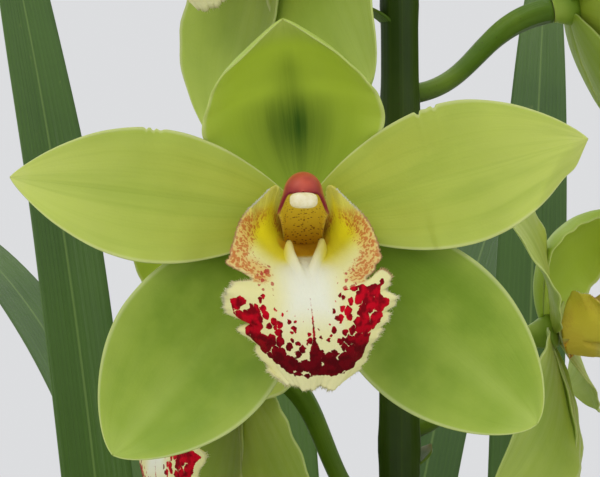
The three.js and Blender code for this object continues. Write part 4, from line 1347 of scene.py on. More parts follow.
for k, bloom in enumerate(BLOOMS):
    grid = by_distance(bloom, *GRIDS["lip"])
    made, P, u = lip_part(*grid, LIP_SEED + k, bloom["name"] == FRONT)
    hairs = fringe(P, u, by_distance(bloom, *HAIRS), HAIR_SEED + k)
    parts = [placed(part, bloom) for part in (made, hairs)]
    piece(bloom["name"] + "_lip_fine", parts, LIP_SKIN, "lip", bloom["name"] + "_lip")
print("lips:", counted("lip"), "triangles")


# %% [markdown]
# ### Column and anther cap
# The column's section is an arch. Going round it, the points run over the back from one wing's
# edge to the other, then return along the hollow underside. The arch narrows and closes over
# the tip like a helmet, and the cream cap sits just below it.

# %% Column
COLUMN = np.array([
    # forward, height, half dome, its rise, half width at the wings, their drop, hollow between them
    [2.2, -2.6, 3.9, 3.6, 4.2, 4.6, 0.1],
    [8.0, -0.2, 4.0, 3.7, 4.4, 3.8, 0.8],
    [14.0, 2.0, 4.2, 3.9, 4.8, 3.6, 1.8],
    [19.5, 3.6, 4.3, 4.4, 5.3, 3.7, 2.6],
    [22.6, 4.3, 4.15, 4.5, 5.5, 4.3, 3.6],
    [24.4, 4.5, 3.95, 4.25, 5.0, 3.4, 3.0],
    [25.7, 4.6, 3.5, 3.6, 3.9, 1.2, 0.9],
    [26.7, 4.7, 2.8, 2.7, 2.9, 0.4, 0.2],
    [27.3, 4.6, 1.9, 1.7, 1.95, 0.25, 0.1],
    [27.6, 4.4, 0.3, 0.3, 0.3, 0.1, 0.02],
])
# Shares of the upper section that the dome and the wings take, and the hollow's width in the column's
DOME_SHARE, WING_SHARE, UNDER_WIDTH = 0.66, 0.34, 0.89
# The hollow ends this far forward, where the tip closes over it
NOSE = 25.0
# The cap's middle, half its sizes, and the power that squares it
CAP_AT = np.array([0.1, -28.95, 2.75])
CAP_HALF = np.array([2.9, 1.45, 1.65])
CAP_POWER = 0.68


def column_part(rows, sides):
    """The column: at each station a dome, two wings that flare down from it, and a hollow between.
    The dome is half an ellipse, and each wing falls on from its side."""
    s = catmull(COLUMN, np.linspace(0, 1, rows))
    over = np.linspace(-1, 1, sides // 2)
    dome = np.clip(np.abs(over) / DOME_SHARE, 0, 1) * np.pi / 2
    wing = np.clip((np.abs(over) - DOME_SHARE) / WING_SHARE, 0, 1)
    forward, height, half_dome, rise, half_wing, drop, hollow = (s[:, k][:, None] for k in range(7))
    x = np.sign(over) * (half_dome * np.sin(dome) + (half_wing - half_dome) * wing**0.8)
    z = height + rise * np.cos(dome) - drop * wing
    under_x = x[:, ::-1] * UNDER_WIDTH
    under_z = height - drop + hollow * (1 - np.abs(over[::-1]) ** 2.4)
    P = np.stack([
        np.concatenate([x, under_x], 1),
        np.concatenate([-forward + 0 * x, -forward + 0 * x], 1),
        np.concatenate([z, under_z], 1),
    ], -1)
    along = np.linspace(0, 1, rows)[:, None] + np.zeros((1, P.shape[1]))
    below = np.concatenate([np.zeros_like(over), np.ones_like(over)])[None, :]
    from_edge = (1 - np.abs(np.concatenate([over, over[::-1]])))[None, :]
    nose = smooth((forward - NOSE) / 0.8)
    broad = mix(0.08, 0.3, smooth((forward - 18) / 4)) + 0.3 * nose
    edge = bell(from_edge, broad) * smooth((along - 0.3) / 0.3)
    values = {"along": along, "under": below * (1 - nose), "edge": np.maximum(edge, below * nose)}
    return tube(P, values)


def cap_part(rows, sides):
    """The anther cap: a cushion with blunt corners and a shallow groove down its front. A ball's
    coordinates are raised to a power below one, which squares it, with its poles to the sides."""
    t = np.linspace(0.02, 0.98, rows) * np.pi
    turn = circle(sides)
    ball = np.stack([
        -np.cos(t)[:, None] + 0 * turn, np.sin(t)[:, None] * np.cos(turn), np.sin(t)[:, None] * np.sin(turn),
    ], -1)
    ball = np.sign(ball) * np.abs(ball) ** CAP_POWER
    groove = 1 - 0.07 * bell(ball[..., :1], 0.12) * (ball[..., 1:2] < 0)
    return tube(ball * groove * CAP_HALF + CAP_AT)


for bloom in BLOOMS:
    column = placed(column_part(*by_distance(bloom, *GRIDS["column"])), bloom)
    cap = placed(cap_part(*by_distance(bloom, *GRIDS["cap"])), bloom)
    piece(bloom["name"] + "_column_fine", [column], COLUMN_SKIN, "column", bloom["name"] + "_column")
    piece(bloom["name"] + "_cap_fine", [cap], CAP_SKIN, "cap", bloom["name"] + "_anther_cap")
print("columns and caps:", counted("column") + counted("cap"), "triangles")


# %% [markdown]
# ## The flower spike
# The stem is a tube along a smooth curve. Each open bloom hangs on a stalk that leaves the stem
# outward and meets the back of the bloom squarely, and thickens into a ribbed ovary there. A
# small bract cradles each stalk's foot, sheaths wrap the lower stem, and buds end the spike.

# %% Spike's shape
STEM = np.array([
    # x, y, z, radius
    [25, -27, 142, 6.2],
    [22, -32, 240, 5.6],
    [18, -36, 360, 5.2],
    [16, -38, 480, 4.9],
    [16, -38, 590, 4.5],
    [14, -40, 680, 3.8],
    [8, -47, 746, 2.6],
    [1, -58, 782, 1.7],
])
BUDS = [
    # height of its node, middle, (half its length, half its width)
    (716, (-24, -62, 736), (21, 9)),
    (740, (32, -58, 764), (18, 7.6)),
    (760, (-12, -80, 784), (15, 6.2)),
    (776, (4, -66, 804), (12, 4.8)),
]
# Height of a sheath's foot, its length, and the side it opens to in degrees
SHEATHS = [(170, 66, 200), (228, 62, 20), (290, 52, 190)]
# A stalk's curve leaves outward and up, and arrives, by these shares of its length
STALK_LEAVES, STALK_ARRIVES = (0.45, 0.02), 0.4
PEDICEL_RADIUS, OVARY_RADIUS = 2.3, 3.1
STEM_RINGS, STEM_SIDES, STEM_RIBS, STEM_RIB = 260, 40, 10, 0.07
STALK_RINGS, STALK_SIDES, OVARY_RIBS, OVARY_RIB = 60, 30, 6, 0.22
BUD_RINGS, BUD_SIDES, BUD_STALK_RINGS, BUD_STALK_SIDES = 34, 36, 26, 14
BRACT_GRID, BRACT_THICK, SHEATH_GRID, SHEATH_THICK = (14, 11), 0.55, (40, 31), 0.6
# A bract starts this far under its node, and reaches so far out and up
BRACT_UNDER, BRACT_OUT, BRACT_UP = 8, 5.2, 4.4
# The ovary ends this far behind the bloom's middle, with a small gap, for a bloom of size 1
SEAT_DEPTH, SEAT_GAP = 6, 0.25
print("stem's length: %.0f mm" % (STEM[-1, 2] - STEM[0, 2]))


# %% Stalks, bracts and sheaths
def stem_at(z):
    """The stem's middle and radius at height z."""
    z = np.asarray(z, float)
    x, y, radius = (np.interp(z, STEM[:, 2], STEM[:, k]) for k in (0, 1, 3))
    return np.stack([x, y, z], -1), radius


def bezier(a, b, c, d, t):
    """The cubic curve from a to d that leaves towards b and arrives from c, at places t."""
    t = t[:, None]
    return (1 - t) ** 3 * a + 3 * t * (1 - t) ** 2 * b + 3 * t**2 * (1 - t) * c + t**3 * d


def stalk(node, seat, back, end_radius, steps, sides):
    """A stalk from the stem to a seat, with a ribbed, thicker last third."""
    start = stem_at(node)[0]
    away = seat - start
    outward_way = unit(np.array([away[0], away[1], 0.0]))
    length = np.linalg.norm(away)
    t = np.linspace(0, 1, steps)
    leaving = start + outward_way * length * STALK_LEAVES[0] + [0, 0, length * STALK_LEAVES[1]]
    path = bezier(start, leaving, seat + back * length * STALK_ARRIVES, seat, t)
    radius = mix(PEDICEL_RADIUS, end_radius, smooth(t * 1.5 - 0.5)) * (1 + 0.16 * bell(t, 0.07))
    ribs = OVARY_RIB * smooth((t - 0.55) / 0.2) * (1 - smooth((t - 0.96) / 0.04))
    rings = rings_along(path, radius, sides, OVARY_RIBS, ribs)
    # Painted light: the stalk's upper side is lighter; it also turns a paler green towards the bloom
    upper = (rings[..., 2] - path[:, None, 2]) / radius[:, None]
    light = np.clip(0.56 + 0.34 * t[:, None] + 0.36 * upper, 0, 1) * (1 - 0.6 * np.exp(-t[:, None] / 0.05))
    return tube(rings, {"light": light, "dry": 0.0})


def bract(node, turn):
    """A small pointed scale under a stalk's foot: its place round the stem narrows to the tip, and
    its distance from the stem grows along it."""
    at, radius = stem_at(node - BRACT_UNDER)
    u, v = strip(*BRACT_GRID)
    angle = turn + v * 0.8 * np.maximum(1 - u**1.4, 0.03)
    reach = radius - 0.5 + u * BRACT_OUT + 0.5 * u * v**2
    P = around(at[0], at[1], reach, angle, at[2] + u * BRACT_UP)
    return blade(P, BRACT_THICK, u, v, {"light": 0.6, "dry": smooth((u - 0.5) / 0.5) * 0.7})


def sheath(foot, length, opens):
    """A scale leaf wrapped round the stem, open down one side and pointed at its top."""
    u, v = strip(*SHEATH_GRID)
    at, radius = stem_at(foot + u * length)
    turn = math.radians(opens + 180) + v * math.pi * 0.86 * (1 - smooth(u * 1.25 - 0.25) * 0.93)
    reach = radius - 0.1 + 0.9 * smooth(u * 5) + 1.6 * u * u + 0.12 * np.cos(14 * v)
    P = around(at[..., 0], at[..., 1], reach, turn, at[..., 2])
    return blade(P, SHEATH_THICK, u, v, {"light": 0.45, "dry": 0.12 + 0.75 * smooth((u - 0.45) / 0.5)})


print("stem's radius at its foot: %.1f mm" % stem_at(STEM[0, 2])[1])


# %% [markdown]
# The buds at the tip are closed: three sepals meet along seams, and hide the rest. The whole spike
# is one piece, because it grows as one.

# %% Buds and the whole spike
def bud(node, centre, half):
    """A closed bud: three sepals meet along shallow seams, and it comes to a soft point."""
    start = stem_at(node)[0]
    centre = np.array(centre, float)
    axis = unit(unit(centre - start) + [0, 0, 0.35])
    side = unit(np.cross([0, 0, 1], axis))
    other = np.cross(axis, side)
    t = np.linspace(-0.485, 0.49, BUD_RINGS)[:, None] * np.pi
    turn = circle(BUD_SIDES)[None, :]
    seams = 1 - 0.06 * bell(np.sin(1.5 * turn), 0.25) * np.cos(t)
    r = half[1] * np.cos(t) ** 0.9 * seams
    P = (
        centre + axis * half[0] * np.sin(t)[..., None]
        + (r * np.cos(turn))[..., None] * side + (r * np.sin(turn))[..., None] * other
    )
    body = tube(P, {"light": 1.0, "dry": 0.0})
    foot = centre - axis * half[0] * 0.9
    return [body, stalk(node, foot, -axis, PEDICEL_RADIUS * 0.9, BUD_STALK_RINGS, BUD_STALK_SIDES)]


def spike_parts():
    """The stem, a little thicker at each node, with a stalk and a bract for each bloom, the buds
    and the sheaths."""
    t = np.linspace(0, 1, STEM_RINGS)
    path = catmull(STEM[:, :3], t)
    radius = np.interp(path[:, 2], STEM[:, 2], STEM[:, 3])
    for node in [bloom["node"] for bloom in BLOOMS] + [one[0] for one in BUDS]:
        radius = radius * (1 + 0.07 * bell(path[:, 2] - node + 3, 4))
    radius[-1] *= 0.4
    light = 0.05 + 0.5 * t[:, None] ** 3
    rings = rings_along(path, radius, STEM_SIDES, STEM_RIBS, STEM_RIB)
    parts = [tube(rings, {"light": light, "dry": 0.0})]
    for bloom in BLOOMS:
        node, size = bloom["node"], bloom["size"]
        back = turning(bloom["turn"]) @ np.array([0.0, 1.0, 0.0])
        seat = np.array(bloom["centre"]) + back * (SEAT_DEPTH * size + SEAT_GAP)
        parts.append(stalk(node, seat, back, OVARY_RADIUS * size, STALK_RINGS, STALK_SIDES))
        away = seat - stem_at(node)[0]
        parts.append(bract(node, math.atan2(away[1], away[0])))
    for one in BUDS:
        parts += bud(*one)
    return parts + [sheath(*one) for one in SHEATHS]


piece("flower_spike_fine", spike_parts(), STEM_SKIN, "stem", "flower_spike")
print("spike:", tally["flower_spike_fine"], "triangles")


# %% [markdown]
# ## Bulbs
# A pseudobulb is a turned egg with lengthwise furrows, and faint rings where old leaves sat. A
# few points give its outline, which is then smoothed. Each growth is one bulb with its leaves.

# %% Bulbs
BARK_LEVEL, BULB_SUNK = 157, 20
GROWTHS = [
    # name, place, the bulb's height and radius, and its leaves: the side it faces, length, lean at
    # foot and tip, twist, width
    ("1", (-44, 6), 74, 23, [
        (186, 430, 18, 128, 8, 22), (216, 380, 22, 112, -12, 21), (164, 490, 12, 92, 14, 23),
        (146, 520, 7, 64, -10, 22), (112, 520, 3, 40, 18, 22), (60, 190, 9, 34, 6, 18),
    ]),
    ("2", (48, 22), 72, 22, [
        (-6, 430, 18, 126, -8, 22), (-32, 370, 23, 116, 12, 21), (18, 500, 11, 88, -14, 23),
        (40, 520, 7, 58, 10, 22), (84, 500, 4, 50, -16, 22), (200, 170, 8, 36, -6, 18),
    ]),
    ("3", (-2, 50), 68, 21, [
        (92, 430, 18, 120, 8, 22), (122, 490, 10, 84, -12, 22),
        (70, 500, 9, 74, 12, 22), (104, 520, 4, 40, -6, 22),
    ]),
    ("4", (-22, -44), 56, 20, []),
]
# Shares of the radius and of the height
BULB_SHAPE = [(0, 0), (0.55, 0), (0.86, 0.14), (1, 0.36), (0.93, 0.58), (0.72, 0.78), (0.42, 0.93), (0, 1)]
BULB_RINGS, BULB_SIDES, BULB_SMOOTHED = 60, 56, 12


def evenly(line, count):
    """count points along a line, with as many between each two of its own points."""
    t, own = np.linspace(0, 1, count), np.linspace(0, 1, len(line))
    return np.stack([np.interp(t, own, line[:, k]) for k in (0, 1)], -1)


def bulb_part(at, height, radius, seed):
    """A pseudobulb: the outline, smoothed by averages of neighbours, turned round, with cosines
    for its furrows, folded sines for old leaf rings, and a dry sheath low down."""
    line = evenly(np.array(BULB_SHAPE), BULB_RINGS)
    for _ in range(BULB_SMOOTHED):
        line[1:-1] = (line[:-2] + 2 * line[1:-1] + line[2:]) / 4
    line[:, 0] = np.maximum(line[:, 0], 0.004)
    turn = circle(BULB_SIDES)[None, :]
    draw = np.random.default_rng(seed)
    furrow = sum(0.008 * np.cos(k * turn + 6 * draw.random()) for k in (5, 9, 14, 23))
    rings = 0.018 * np.abs(np.sin(line[:, 1:] * 15 + 0.4 * np.cos(2 * turn)))
    r = radius * line[:, :1] * (1 + furrow - rings)
    z = BARK_LEVEL - BULB_SUNK + line[:, 1:] * height
    P = around(*at, r, turn, z)
    ragged = 0.46 + 0.09 * np.sin(3 * turn + seed) + 0.05 * np.sin(11 * turn)
    return tube(P, {"dry": 0.85 * smooth((ragged - line[:, 1:]) / 0.06)})


def bulb_top(height):
    """How high the top of a bulb comes: its height, less what is sunk in the bark."""
    return BARK_LEVEL - BULB_SUNK + height


print("growths:", len(GROWTHS))


# %% [markdown]
# ## Leaves
# A leaf's middle line bends over step by step: its lean from upright grows along its length. Its
# section is a V that opens towards the tip.

# %% Leaves
LEAF_ROWS, LEAF_COLUMNS, LEAF_THICK = 72, 17, 0.9
# A leaf stands this far from its growth's middle, and folds this much in degrees at foot and tip
LEAF_FROM_AXIS, LEAF_FOLD = 4, (62, 13)


def leaf_line(length, lean_base, lean_tip, rows):
    """Distance out, height and lean along a leaf, in even steps: the sine and cosine of the lean
    are added up."""
    u = np.linspace(0, 1, rows)
    lean = np.radians(mix(lean_base, lean_tip, u**1.45))
    step = length / (rows - 1)
    middle = (lean[1:] + lean[:-1]) / 2
    out_way = np.insert(np.cumsum(np.sin(middle)), 0, 0) * step
    up_way = np.insert(np.cumsum(np.cos(middle)), 0, 0) * step
    return u, out_way, up_way, lean


def leaf_part(base, leaf, rows, columns, seed):
    """One strap leaf as a closed blade: a V across the middle line, twisted about it, with a
    ripple along its margins and a thicker keel."""
    toward, length, lean_base, lean_tip, twist_by, width = leaf
    u, out_way, up_way, lean = (x[:, None] for x in leaf_line(length, lean_base, lean_tip, rows))
    v = np.linspace(-1, 1, columns)[None, :]
    tip = np.clip((u - 0.6) / 0.4, 0, 1)
    half = width / 2 * mix(0.5, 1, smooth(u / 0.3)) * np.maximum(0.015, (1 - tip**2.2) ** 0.85)
    fold = np.radians(mix(*LEAF_FOLD, smooth(u / 0.45)))
    twist = np.radians(twist_by) * u
    flat = half * v * np.cos(fold)
    raised = half * (np.sqrt(v * v + 0.02) - math.sqrt(0.02)) * np.sin(fold)
    draw = np.random.default_rng(seed)
    ripple = 0.5 * np.sin(2 * np.pi * (5 * u + draw.random())) * np.abs(v) ** 2 * u + 0.1 * np.cos(18 * v)
    raised = raised + ripple
    lateral = flat * np.cos(twist) - raised * np.sin(twist) + twist_by * 0.0011 * length * u * u
    lift = flat * np.sin(twist) + raised * np.cos(twist)
    radial = out_way - lift * np.cos(lean)
    turn = math.radians(toward)
    P = np.stack([
        base[0] + radial * math.cos(turn) - lateral * math.sin(turn),
        base[1] + radial * math.sin(turn) + lateral * math.cos(turn),
        base[2] + up_way + lift * np.sin(lean),
    ], -1)
    thickness = LEAF_THICK * (1 - 0.5 * np.abs(v) ** 3) + 0.5 * bell(v, 0.15) * (1 - u)
    return blade(P, thickness, u, v, {"tone": draw.random()})


print("steps along a leaf:", LEAF_ROWS - 1)


# %% [markdown]
# The foot of each leaf wraps round the bulb as a sheath, the oldest outermost, with dry slanting
# edges that overlap down both sides. Under them a turned collar closes the growth.

# %% Leaf feet
COLLAR_RINGS, COLLAR_SIDES = 40, 60
# Share of the bulb's radius, millimetres more, share of its height over its top, millimetres more
COLLAR_OUTSIDE = [
    (0, 0.2, 0, 19), (0.36, 0, 0, 17), (0.45, 0.6, 0, 7), (0.52, 1.6, 0, -2),
    (0.66, 1.6, -0.12, 0), (0.8, 1.6, -0.24, 0), (0.96, 1.6, -0.4, 0), (1.0, 1.3, -0.5, 0),
]
COLLAR_INSIDE = [
    (1.0, 0.35, -0.49, 0), (0.94, 0.3, -0.42, 0), (0.74, 0.3, -0.22, 0), (0.42, 0.3, -0.06, 0),
    (0, 0.2, 0, 0.6),
]


def on_bulb(rows, height, radius):
    """A collar's outline as (radius, height) for one bulb."""
    share, more, share_up, more_up = np.array(rows).T
    return np.stack([radius * share + more, bulb_top(height) + share_up * height + more_up], -1)


def collar_part(at, height, radius):
    """The core of a growth, round the bulb's upper half: a turned skin whose outside swells and
    sinks in two turns, so that its edges look split."""
    skin = evenly(on_bulb(COLLAR_OUTSIDE, height, radius), COLLAR_RINGS)
    profile = np.concatenate([skin, on_bulb(COLLAR_INSIDE, height, radius)])
    P = turned(profile, COLLAR_SIDES)
    swing = np.sin(circle(COLLAR_SIDES) * 2 + P[:, :, 2] * 0.05)
    outside = (np.arange(len(profile)) < COLLAR_RINGS)[:, None]
    wrap = 0.5 * np.sign(swing) * np.abs(swing) ** 0.3
    grow = 1 + wrap / np.maximum(np.hypot(P[..., 0], P[..., 1]), 6) * outside
    P = P * np.stack([grow, grow, np.ones_like(grow)], -1) + np.array([*at, 0])
    low = smooth((P[..., 2].max() - P[..., 2]) / 40)
    part = tube(P, {"tone": 0.6, "face": 0.4})
    part["uv"][:-2, 0] = (0.03 + 0.1 * (1 - low)).ravel()
    return part


# Millimetres between two layers and of a wrap's thickness, then its grid, and how far it reaches
# round to each side at its foot and top, in radians
WRAP_LAYER, WRAP_THICK = 0.42, 0.5
WRAP_ROWS, WRAP_COLUMNS, WRAP_REACH = 30, 31, (2.15, 1.0)


def wrap_part(at, height, radius, leaf, layer, layers):
    """The foot of a leaf, wrapped round its growth. Its radius is the growth's own plus its layer's,
    and its height falls away from a tongue in the middle to its two slanting edges."""
    toward, _, lean = leaf[:3]
    top = bulb_top(height)
    u, v = strip(WRAP_ROWS, WRAP_COLUMNS)
    low, high = BARK_LEVEL - 3, top + 6 + 5 * layer
    z = low + (high - low) * u * (1 - 0.42 * np.abs(v) ** 1.6)
    shares = np.array([0.5, 0.4, 0.24, 0.12])
    heights = np.concatenate([[low], top - shares * height, [top - 2, top + 7, top + 24]])
    radii = radius * np.array([0.95, 1.0, 0.96, 0.8, 0.66, 0.52, 0.45, 0.3]) + 1.5
    body = np.interp(z, heights, radii)
    follow = 6.0 + np.clip(z - top, 0, None) * math.tan(math.radians(lean))
    neck = smooth((z - top + 6) / 10) * bell(v, 0.5)
    r = np.maximum(body, follow * neck) + WRAP_LAYER * (layers - layer) + 0.25 * np.sin(3 * v + layer) * u
    turn = math.radians(toward) + v * mix(*WRAP_REACH, smooth(u))
    P = around(*at, r, turn, z)
    dry = 0.8 * smooth((np.abs(v) - 0.8) / 0.2) + 0.7 * smooth((0.24 - u + 0.03 * np.sin(9 * v)) / 0.12)
    dry = np.clip(dry + (0.35 * smooth(u * 2) if layer == 0 else 0.0), 0, 0.9)
    return blade(P, WRAP_THICK, 0.015 + 0.085 * u * u, v, {"tone": 0.35 + 0.1 * (layer % 3), "dry": dry})


print("half a wrap's turn at its foot: %.0f degrees" % math.degrees(WRAP_REACH[0]))


# %% [markdown]
# ## Growths
# Each growth is put together from these forms. The oldest bulb has lost its leaves and stands bare.

# %% Growths
for k, (name, at, height, radius, leaves) in enumerate(GROWTHS):
    body = bulb_part(at, height, radius, k)
    piece("pseudobulb_%s_fine" % name, [body], BULB_SKIN, "bulb", "pseudobulb_" + name)
    if not leaves:
        continue
    parts = [collar_part(at, height, radius)]
    for j, leaf in enumerate(leaves):
        base = around(*at, LEAF_FROM_AXIS, math.radians(leaf[0]), bulb_top(height) + 1)
        parts.append(leaf_part(base, leaf, LEAF_ROWS, LEAF_COLUMNS, 10 * k + j))
        parts.append(wrap_part(at, height, radius, leaf, j, len(leaves)))
    piece("leaves_%s_fine" % name, parts, LEAF_SKIN, "leaf", "leaves_" + name)
print("leaves:", counted("leaves"), "triangles")


# %% [markdown]
# ## Pot and bark
# The pot is a turned profile with softly rounded corners. Three drain holes pierce its floor: the
# floor's two faces are filled with flat triangles between the outer ring and the holes, and short
# walls join them.

# %% Pot's sizes and floor
POT_HEIGHT, POT_FOOT, POT_NECK, POT_RIM, RIM_HEIGHT = 176, 72, 94, 102, 27
POT_WALL, POT_FLOOR, POT_ROUNDING = 6, 9, 2.2
DRAIN_HOLES, DRAIN_RADIUS, DRAIN_CIRCLE = 3, 8, 38
# The floor's flat faces begin inside this radius, and an edge is sharp from this many degrees
FLOOR_RING, SHARP_FROM = 56, 40
POT_SIDES, HOLE_SIDES = 160, 28


def inner_radius(z):
    """The pot's inner radius at height z, which grows evenly from its foot to its neck."""
    return mix(POT_FOOT, POT_NECK, z / (POT_HEIGHT - RIM_HEIGHT)) - POT_WALL


def rounded(points, radius, steps=5):
    """The line through points with each corner replaced by a small arc-like curve."""
    points = np.array(points, float)
    line = [points[0]]
    for a, b, c in zip(points, points[1:], points[2:]):
        cut = min(radius, np.linalg.norm(a - b) / 2.2, np.linalg.norm(c - b) / 2.2)
        start, end = b + unit(a - b) * cut, b + unit(c - b) * cut
        for s in np.linspace(0, 1, steps):
            line.append((1 - s) ** 2 * start + 2 * s * (1 - s) * b + s * s * end)
    line.append(points[-1])
    return np.array(line)


def pierced_disc(ring, holes):
    """Flat triangles between a ring of points and the rings of some round holes in it. The numbers
    count the ring's points first, then each hole's. A triangle with all its corners on one hole's
    ring lies inside that hole, and is left out."""
    points = np.concatenate([ring] + holes)
    sizes = [len(ring)] + [len(hole) for hole in holes]
    starts = np.cumsum([0] + sizes[:-1])
    edges = [(s + k, s + (k + 1) % n) for s, n in zip(starts.tolist(), sizes) for k in range(n)]
    faces = np.array(delaunay_2d_cdt([Vector(p) for p in points.tolist()], edges, [], 1, 1e-6)[2])
    owner = np.repeat(np.arange(len(sizes)), sizes)[faces]
    in_a_hole = (owner.min(1) == owner.max(1)) & (owner.min(1) > 0)
    faces = faces[~in_a_hole]
    a, b, c = (points[faces[:, k]] for k in range(3))
    turned_over = np.cross(b - a, c - a) < 0
    faces[turned_over] = faces[turned_over][:, ::-1]
    return faces


print("pot's inner radius at its rim: %.1f mm" % inner_radius(POT_HEIGHT))


# %% Pot
def pot_skin(sides, hole_sides):
    """The pot: a turned skin from its foot over the rim to its floor, the two faces of the floor,
    which share their triangles, and the walls of the drain holes."""
    rim_foot = POT_HEIGHT - RIM_HEIGHT
    mouth = inner_radius(POT_HEIGHT)
    profile = rounded([
        (FLOOR_RING, 0), (POT_FOOT, 0), (POT_NECK, rim_foot), (POT_RIM, rim_foot), (POT_RIM + 1, POT_HEIGHT),
        (mouth, POT_HEIGHT), (inner_radius(POT_FLOOR), POT_FLOOR), (FLOOR_RING, POT_FLOOR),
    ], POT_ROUNDING)
    skin = turned(profile, sides)
    rows = len(profile)
    turn = circle(hole_sides)
    round_hole = DRAIN_RADIUS * np.stack([np.cos(turn), np.sin(turn)], -1)
    places = 2 * np.pi * (np.arange(DRAIN_HOLES) + 0.25) / DRAIN_HOLES
    holes = [DRAIN_CIRCLE * np.array([math.cos(a), math.sin(a)]) + round_hole for a in places]
    flat = np.concatenate(holes)
    low = np.column_stack([flat, np.zeros(len(flat))])
    high = np.column_stack([flat, np.full(len(flat), POT_FLOOR)])
    count = rows * sides
    disc = pierced_disc(skin[0, :, :2], holes)
    under = np.where(disc < sides, disc, disc - sides + count)[:, ::-1]
    above = np.where(disc < sides, disc + count - sides, disc - sides + count + len(flat))
    k = np.arange(len(flat))
    after = k // hole_sides * hole_sides + (k + 1) % hole_sides
    walls = np.stack([k, k + len(flat), after + len(flat), after], -1) + count
    points = np.concatenate([skin.reshape(-1, 3), low, high])
    part = {
        "p": points,
        "quads": np.concatenate([grid_quads(rows, sides, wrap=True)[:, ::-1], walls]),
        "tris": np.concatenate([under, above]),
        "uv": points[:, :2] / POT_RIM,
        "values": {},
    }
    return outward(part)


shell = piece("pot_fine", [pot_skin(POT_SIDES, HOLE_SIDES)], CLAY, "clay", "pot")
shell.data.set_sharp_from_angle(angle=math.radians(SHARP_FROM))
print("pot:", tally["pot_fine"], "triangles")


# %% [markdown]
# The bark is a heap of flat, corky chips on a plug that fills the pot. Each chip is a box whose
# corners are worn round and whose faces are roughened by a few long waves.

# %% A bark chip
CHIPS, TRIES, CHIP_POINTS = 380, 2400, 6
PLUG_SIDES, PLUG_GAP, BARK_SEED = 90, 0.4, 5
CHIP_LENGTH, CHIP_WIDTH, CHIP_THICK, CHIP_TILT = (9, 23), (6, 13), (3.5, 7), 16
# Room kept round a bulb, and round the stem's foot from its middle
BULB_ROOM, STEM_ROOM = 4, 11


def chip(centre, size, turn, seed):
    """A worn bark chip: a box whose points are drawn towards a rounded form and then chipped."""
    n = CHIP_POINTS
    t = np.linspace(-1, 1, n)
    a, b = np.meshgrid(t, t, indexing="ij")
    faces = []
    for axis in range(3):
        for end in (-1, 1):
            square = np.stack([a, b, np.full_like(a, end)], -1)
            faces.append(np.roll(square, axis, axis=-1).reshape(-1, 3))
    p = np.concatenate(faces)
    quads = np.concatenate([grid_quads(n, n) + k * n * n for k in range(6)])
    keys, back = np.unique(np.round(p * 100).astype(int), axis=0, return_inverse=True)
    p = keys / 100.0
    quads = back.ravel()[quads]
    # Faces on opposite sides of the box wind opposite ways
    flip = np.repeat([k % 2 == 0 for k in range(6)], (n - 1) ** 2)
    quads[flip] = quads[flip][:, ::-1]
    draw = np.random.default_rng(seed)
    worn = p / (1 + 0.32 * (np.abs(p) ** 6).sum(-1, keepdims=True) ** 0.5 / 1.7)
    rough = 0.0
    for k in (2, 4, 7):
        wave = np.sin(p @ draw.normal(size=3) * k + 6 * draw.random())
        rough = rough + 0.07 * wave[:, None] * draw.normal(size=3)
    worn = (worn + rough) * np.array(size) / 2 * 1.1
    worn = worn @ turning(turn).T + np.array(centre)
    tone = np.full(len(p), draw.random())
    cork = np.clip(np.abs(p[:, 2]) ** 4, 0, 1) * draw.random()
    part = {
        "p": worn,
        "quads": quads,
        "tris": np.zeros((0, 3), int),
        "uv": (p[:, :2] + 1) / 2,
        "values": {"tone": tone, "grain": cork},
    }
    return outward(part)


print("points along a chip's edge:", CHIP_POINTS)


# %% Bark
def bark_parts():
    """A plug of bark that fills the pot, with loose chips at random places over its top. A chip
    that would touch a bulb, the stem or the pot is left out."""
    edge = inner_radius(BARK_LEVEL) - 0.35
    low, high = POT_FLOOR + PLUG_GAP, BARK_LEVEL - 1.5
    profile = [
        (0.2, low), (inner_radius(low) - PLUG_GAP, low), (edge, high - 1.5), (edge - 2, high),
        (0.2, high),
    ]
    parts = [tube(turned(profile, PLUG_SIDES), {"tone": 0.0, "grain": 0.0})]
    draw = np.random.default_rng(BARK_SEED)
    spots = [(*at, radius + BULB_ROOM) for _, at, _, radius, _ in GROWTHS]
    spots.append((*STEM[0, :2], STEM_ROOM))
    for k in range(TRIES):
        away = (edge - 9) * math.sqrt(draw.random())
        turn = draw.random() * 2 * math.pi
        x, y = away * math.cos(turn), away * math.sin(turn)
        size = (
            mix(*CHIP_LENGTH, draw.random() ** 1.4), mix(*CHIP_WIDTH, draw.random()),
            mix(*CHIP_THICK, draw.random()),
        )
        reach = 0.42 * size[0]
        taken = any(math.hypot(x - a, y - b) < r + reach * 0.55 for a, b, r in spots)
        if taken or away + reach > edge - 1.5:
            continue
        z = BARK_LEVEL + mix(-1.5, 3.5, draw.random())
        lie = (draw.random() * 360, draw.normal() * CHIP_TILT, draw.normal() * CHIP_TILT)
        parts.append(chip((x, y, z), size, lie, k))
        if len(parts) > CHIPS:
            break
    return parts


piece("bark_medium_fine", bark_parts(), BARK_SKIN, "bark", "bark_medium")
print("bark:", tally["bark_medium_fine"], "triangles")


# %% [markdown]
# ## Stage and light
# A plain pale floor, a pale surround and soft lamps on all sides leave the orchid to speak, from
# behind too. The lamps' own discs are hidden from the camera, which looks past them.

# %% Stage
def stage_material():
    """Plain, matt, nearly white paper."""
    paper = colour(226, 226, 222)
    return material("stage_paper", Roughness=0.9, Specular_IOR_Level=0.1, Base_Color=paper)[0]


FLOOR_RADIUS = 4.5
FLOOR_RINGS, FLOOR_SIDES = 24, 72


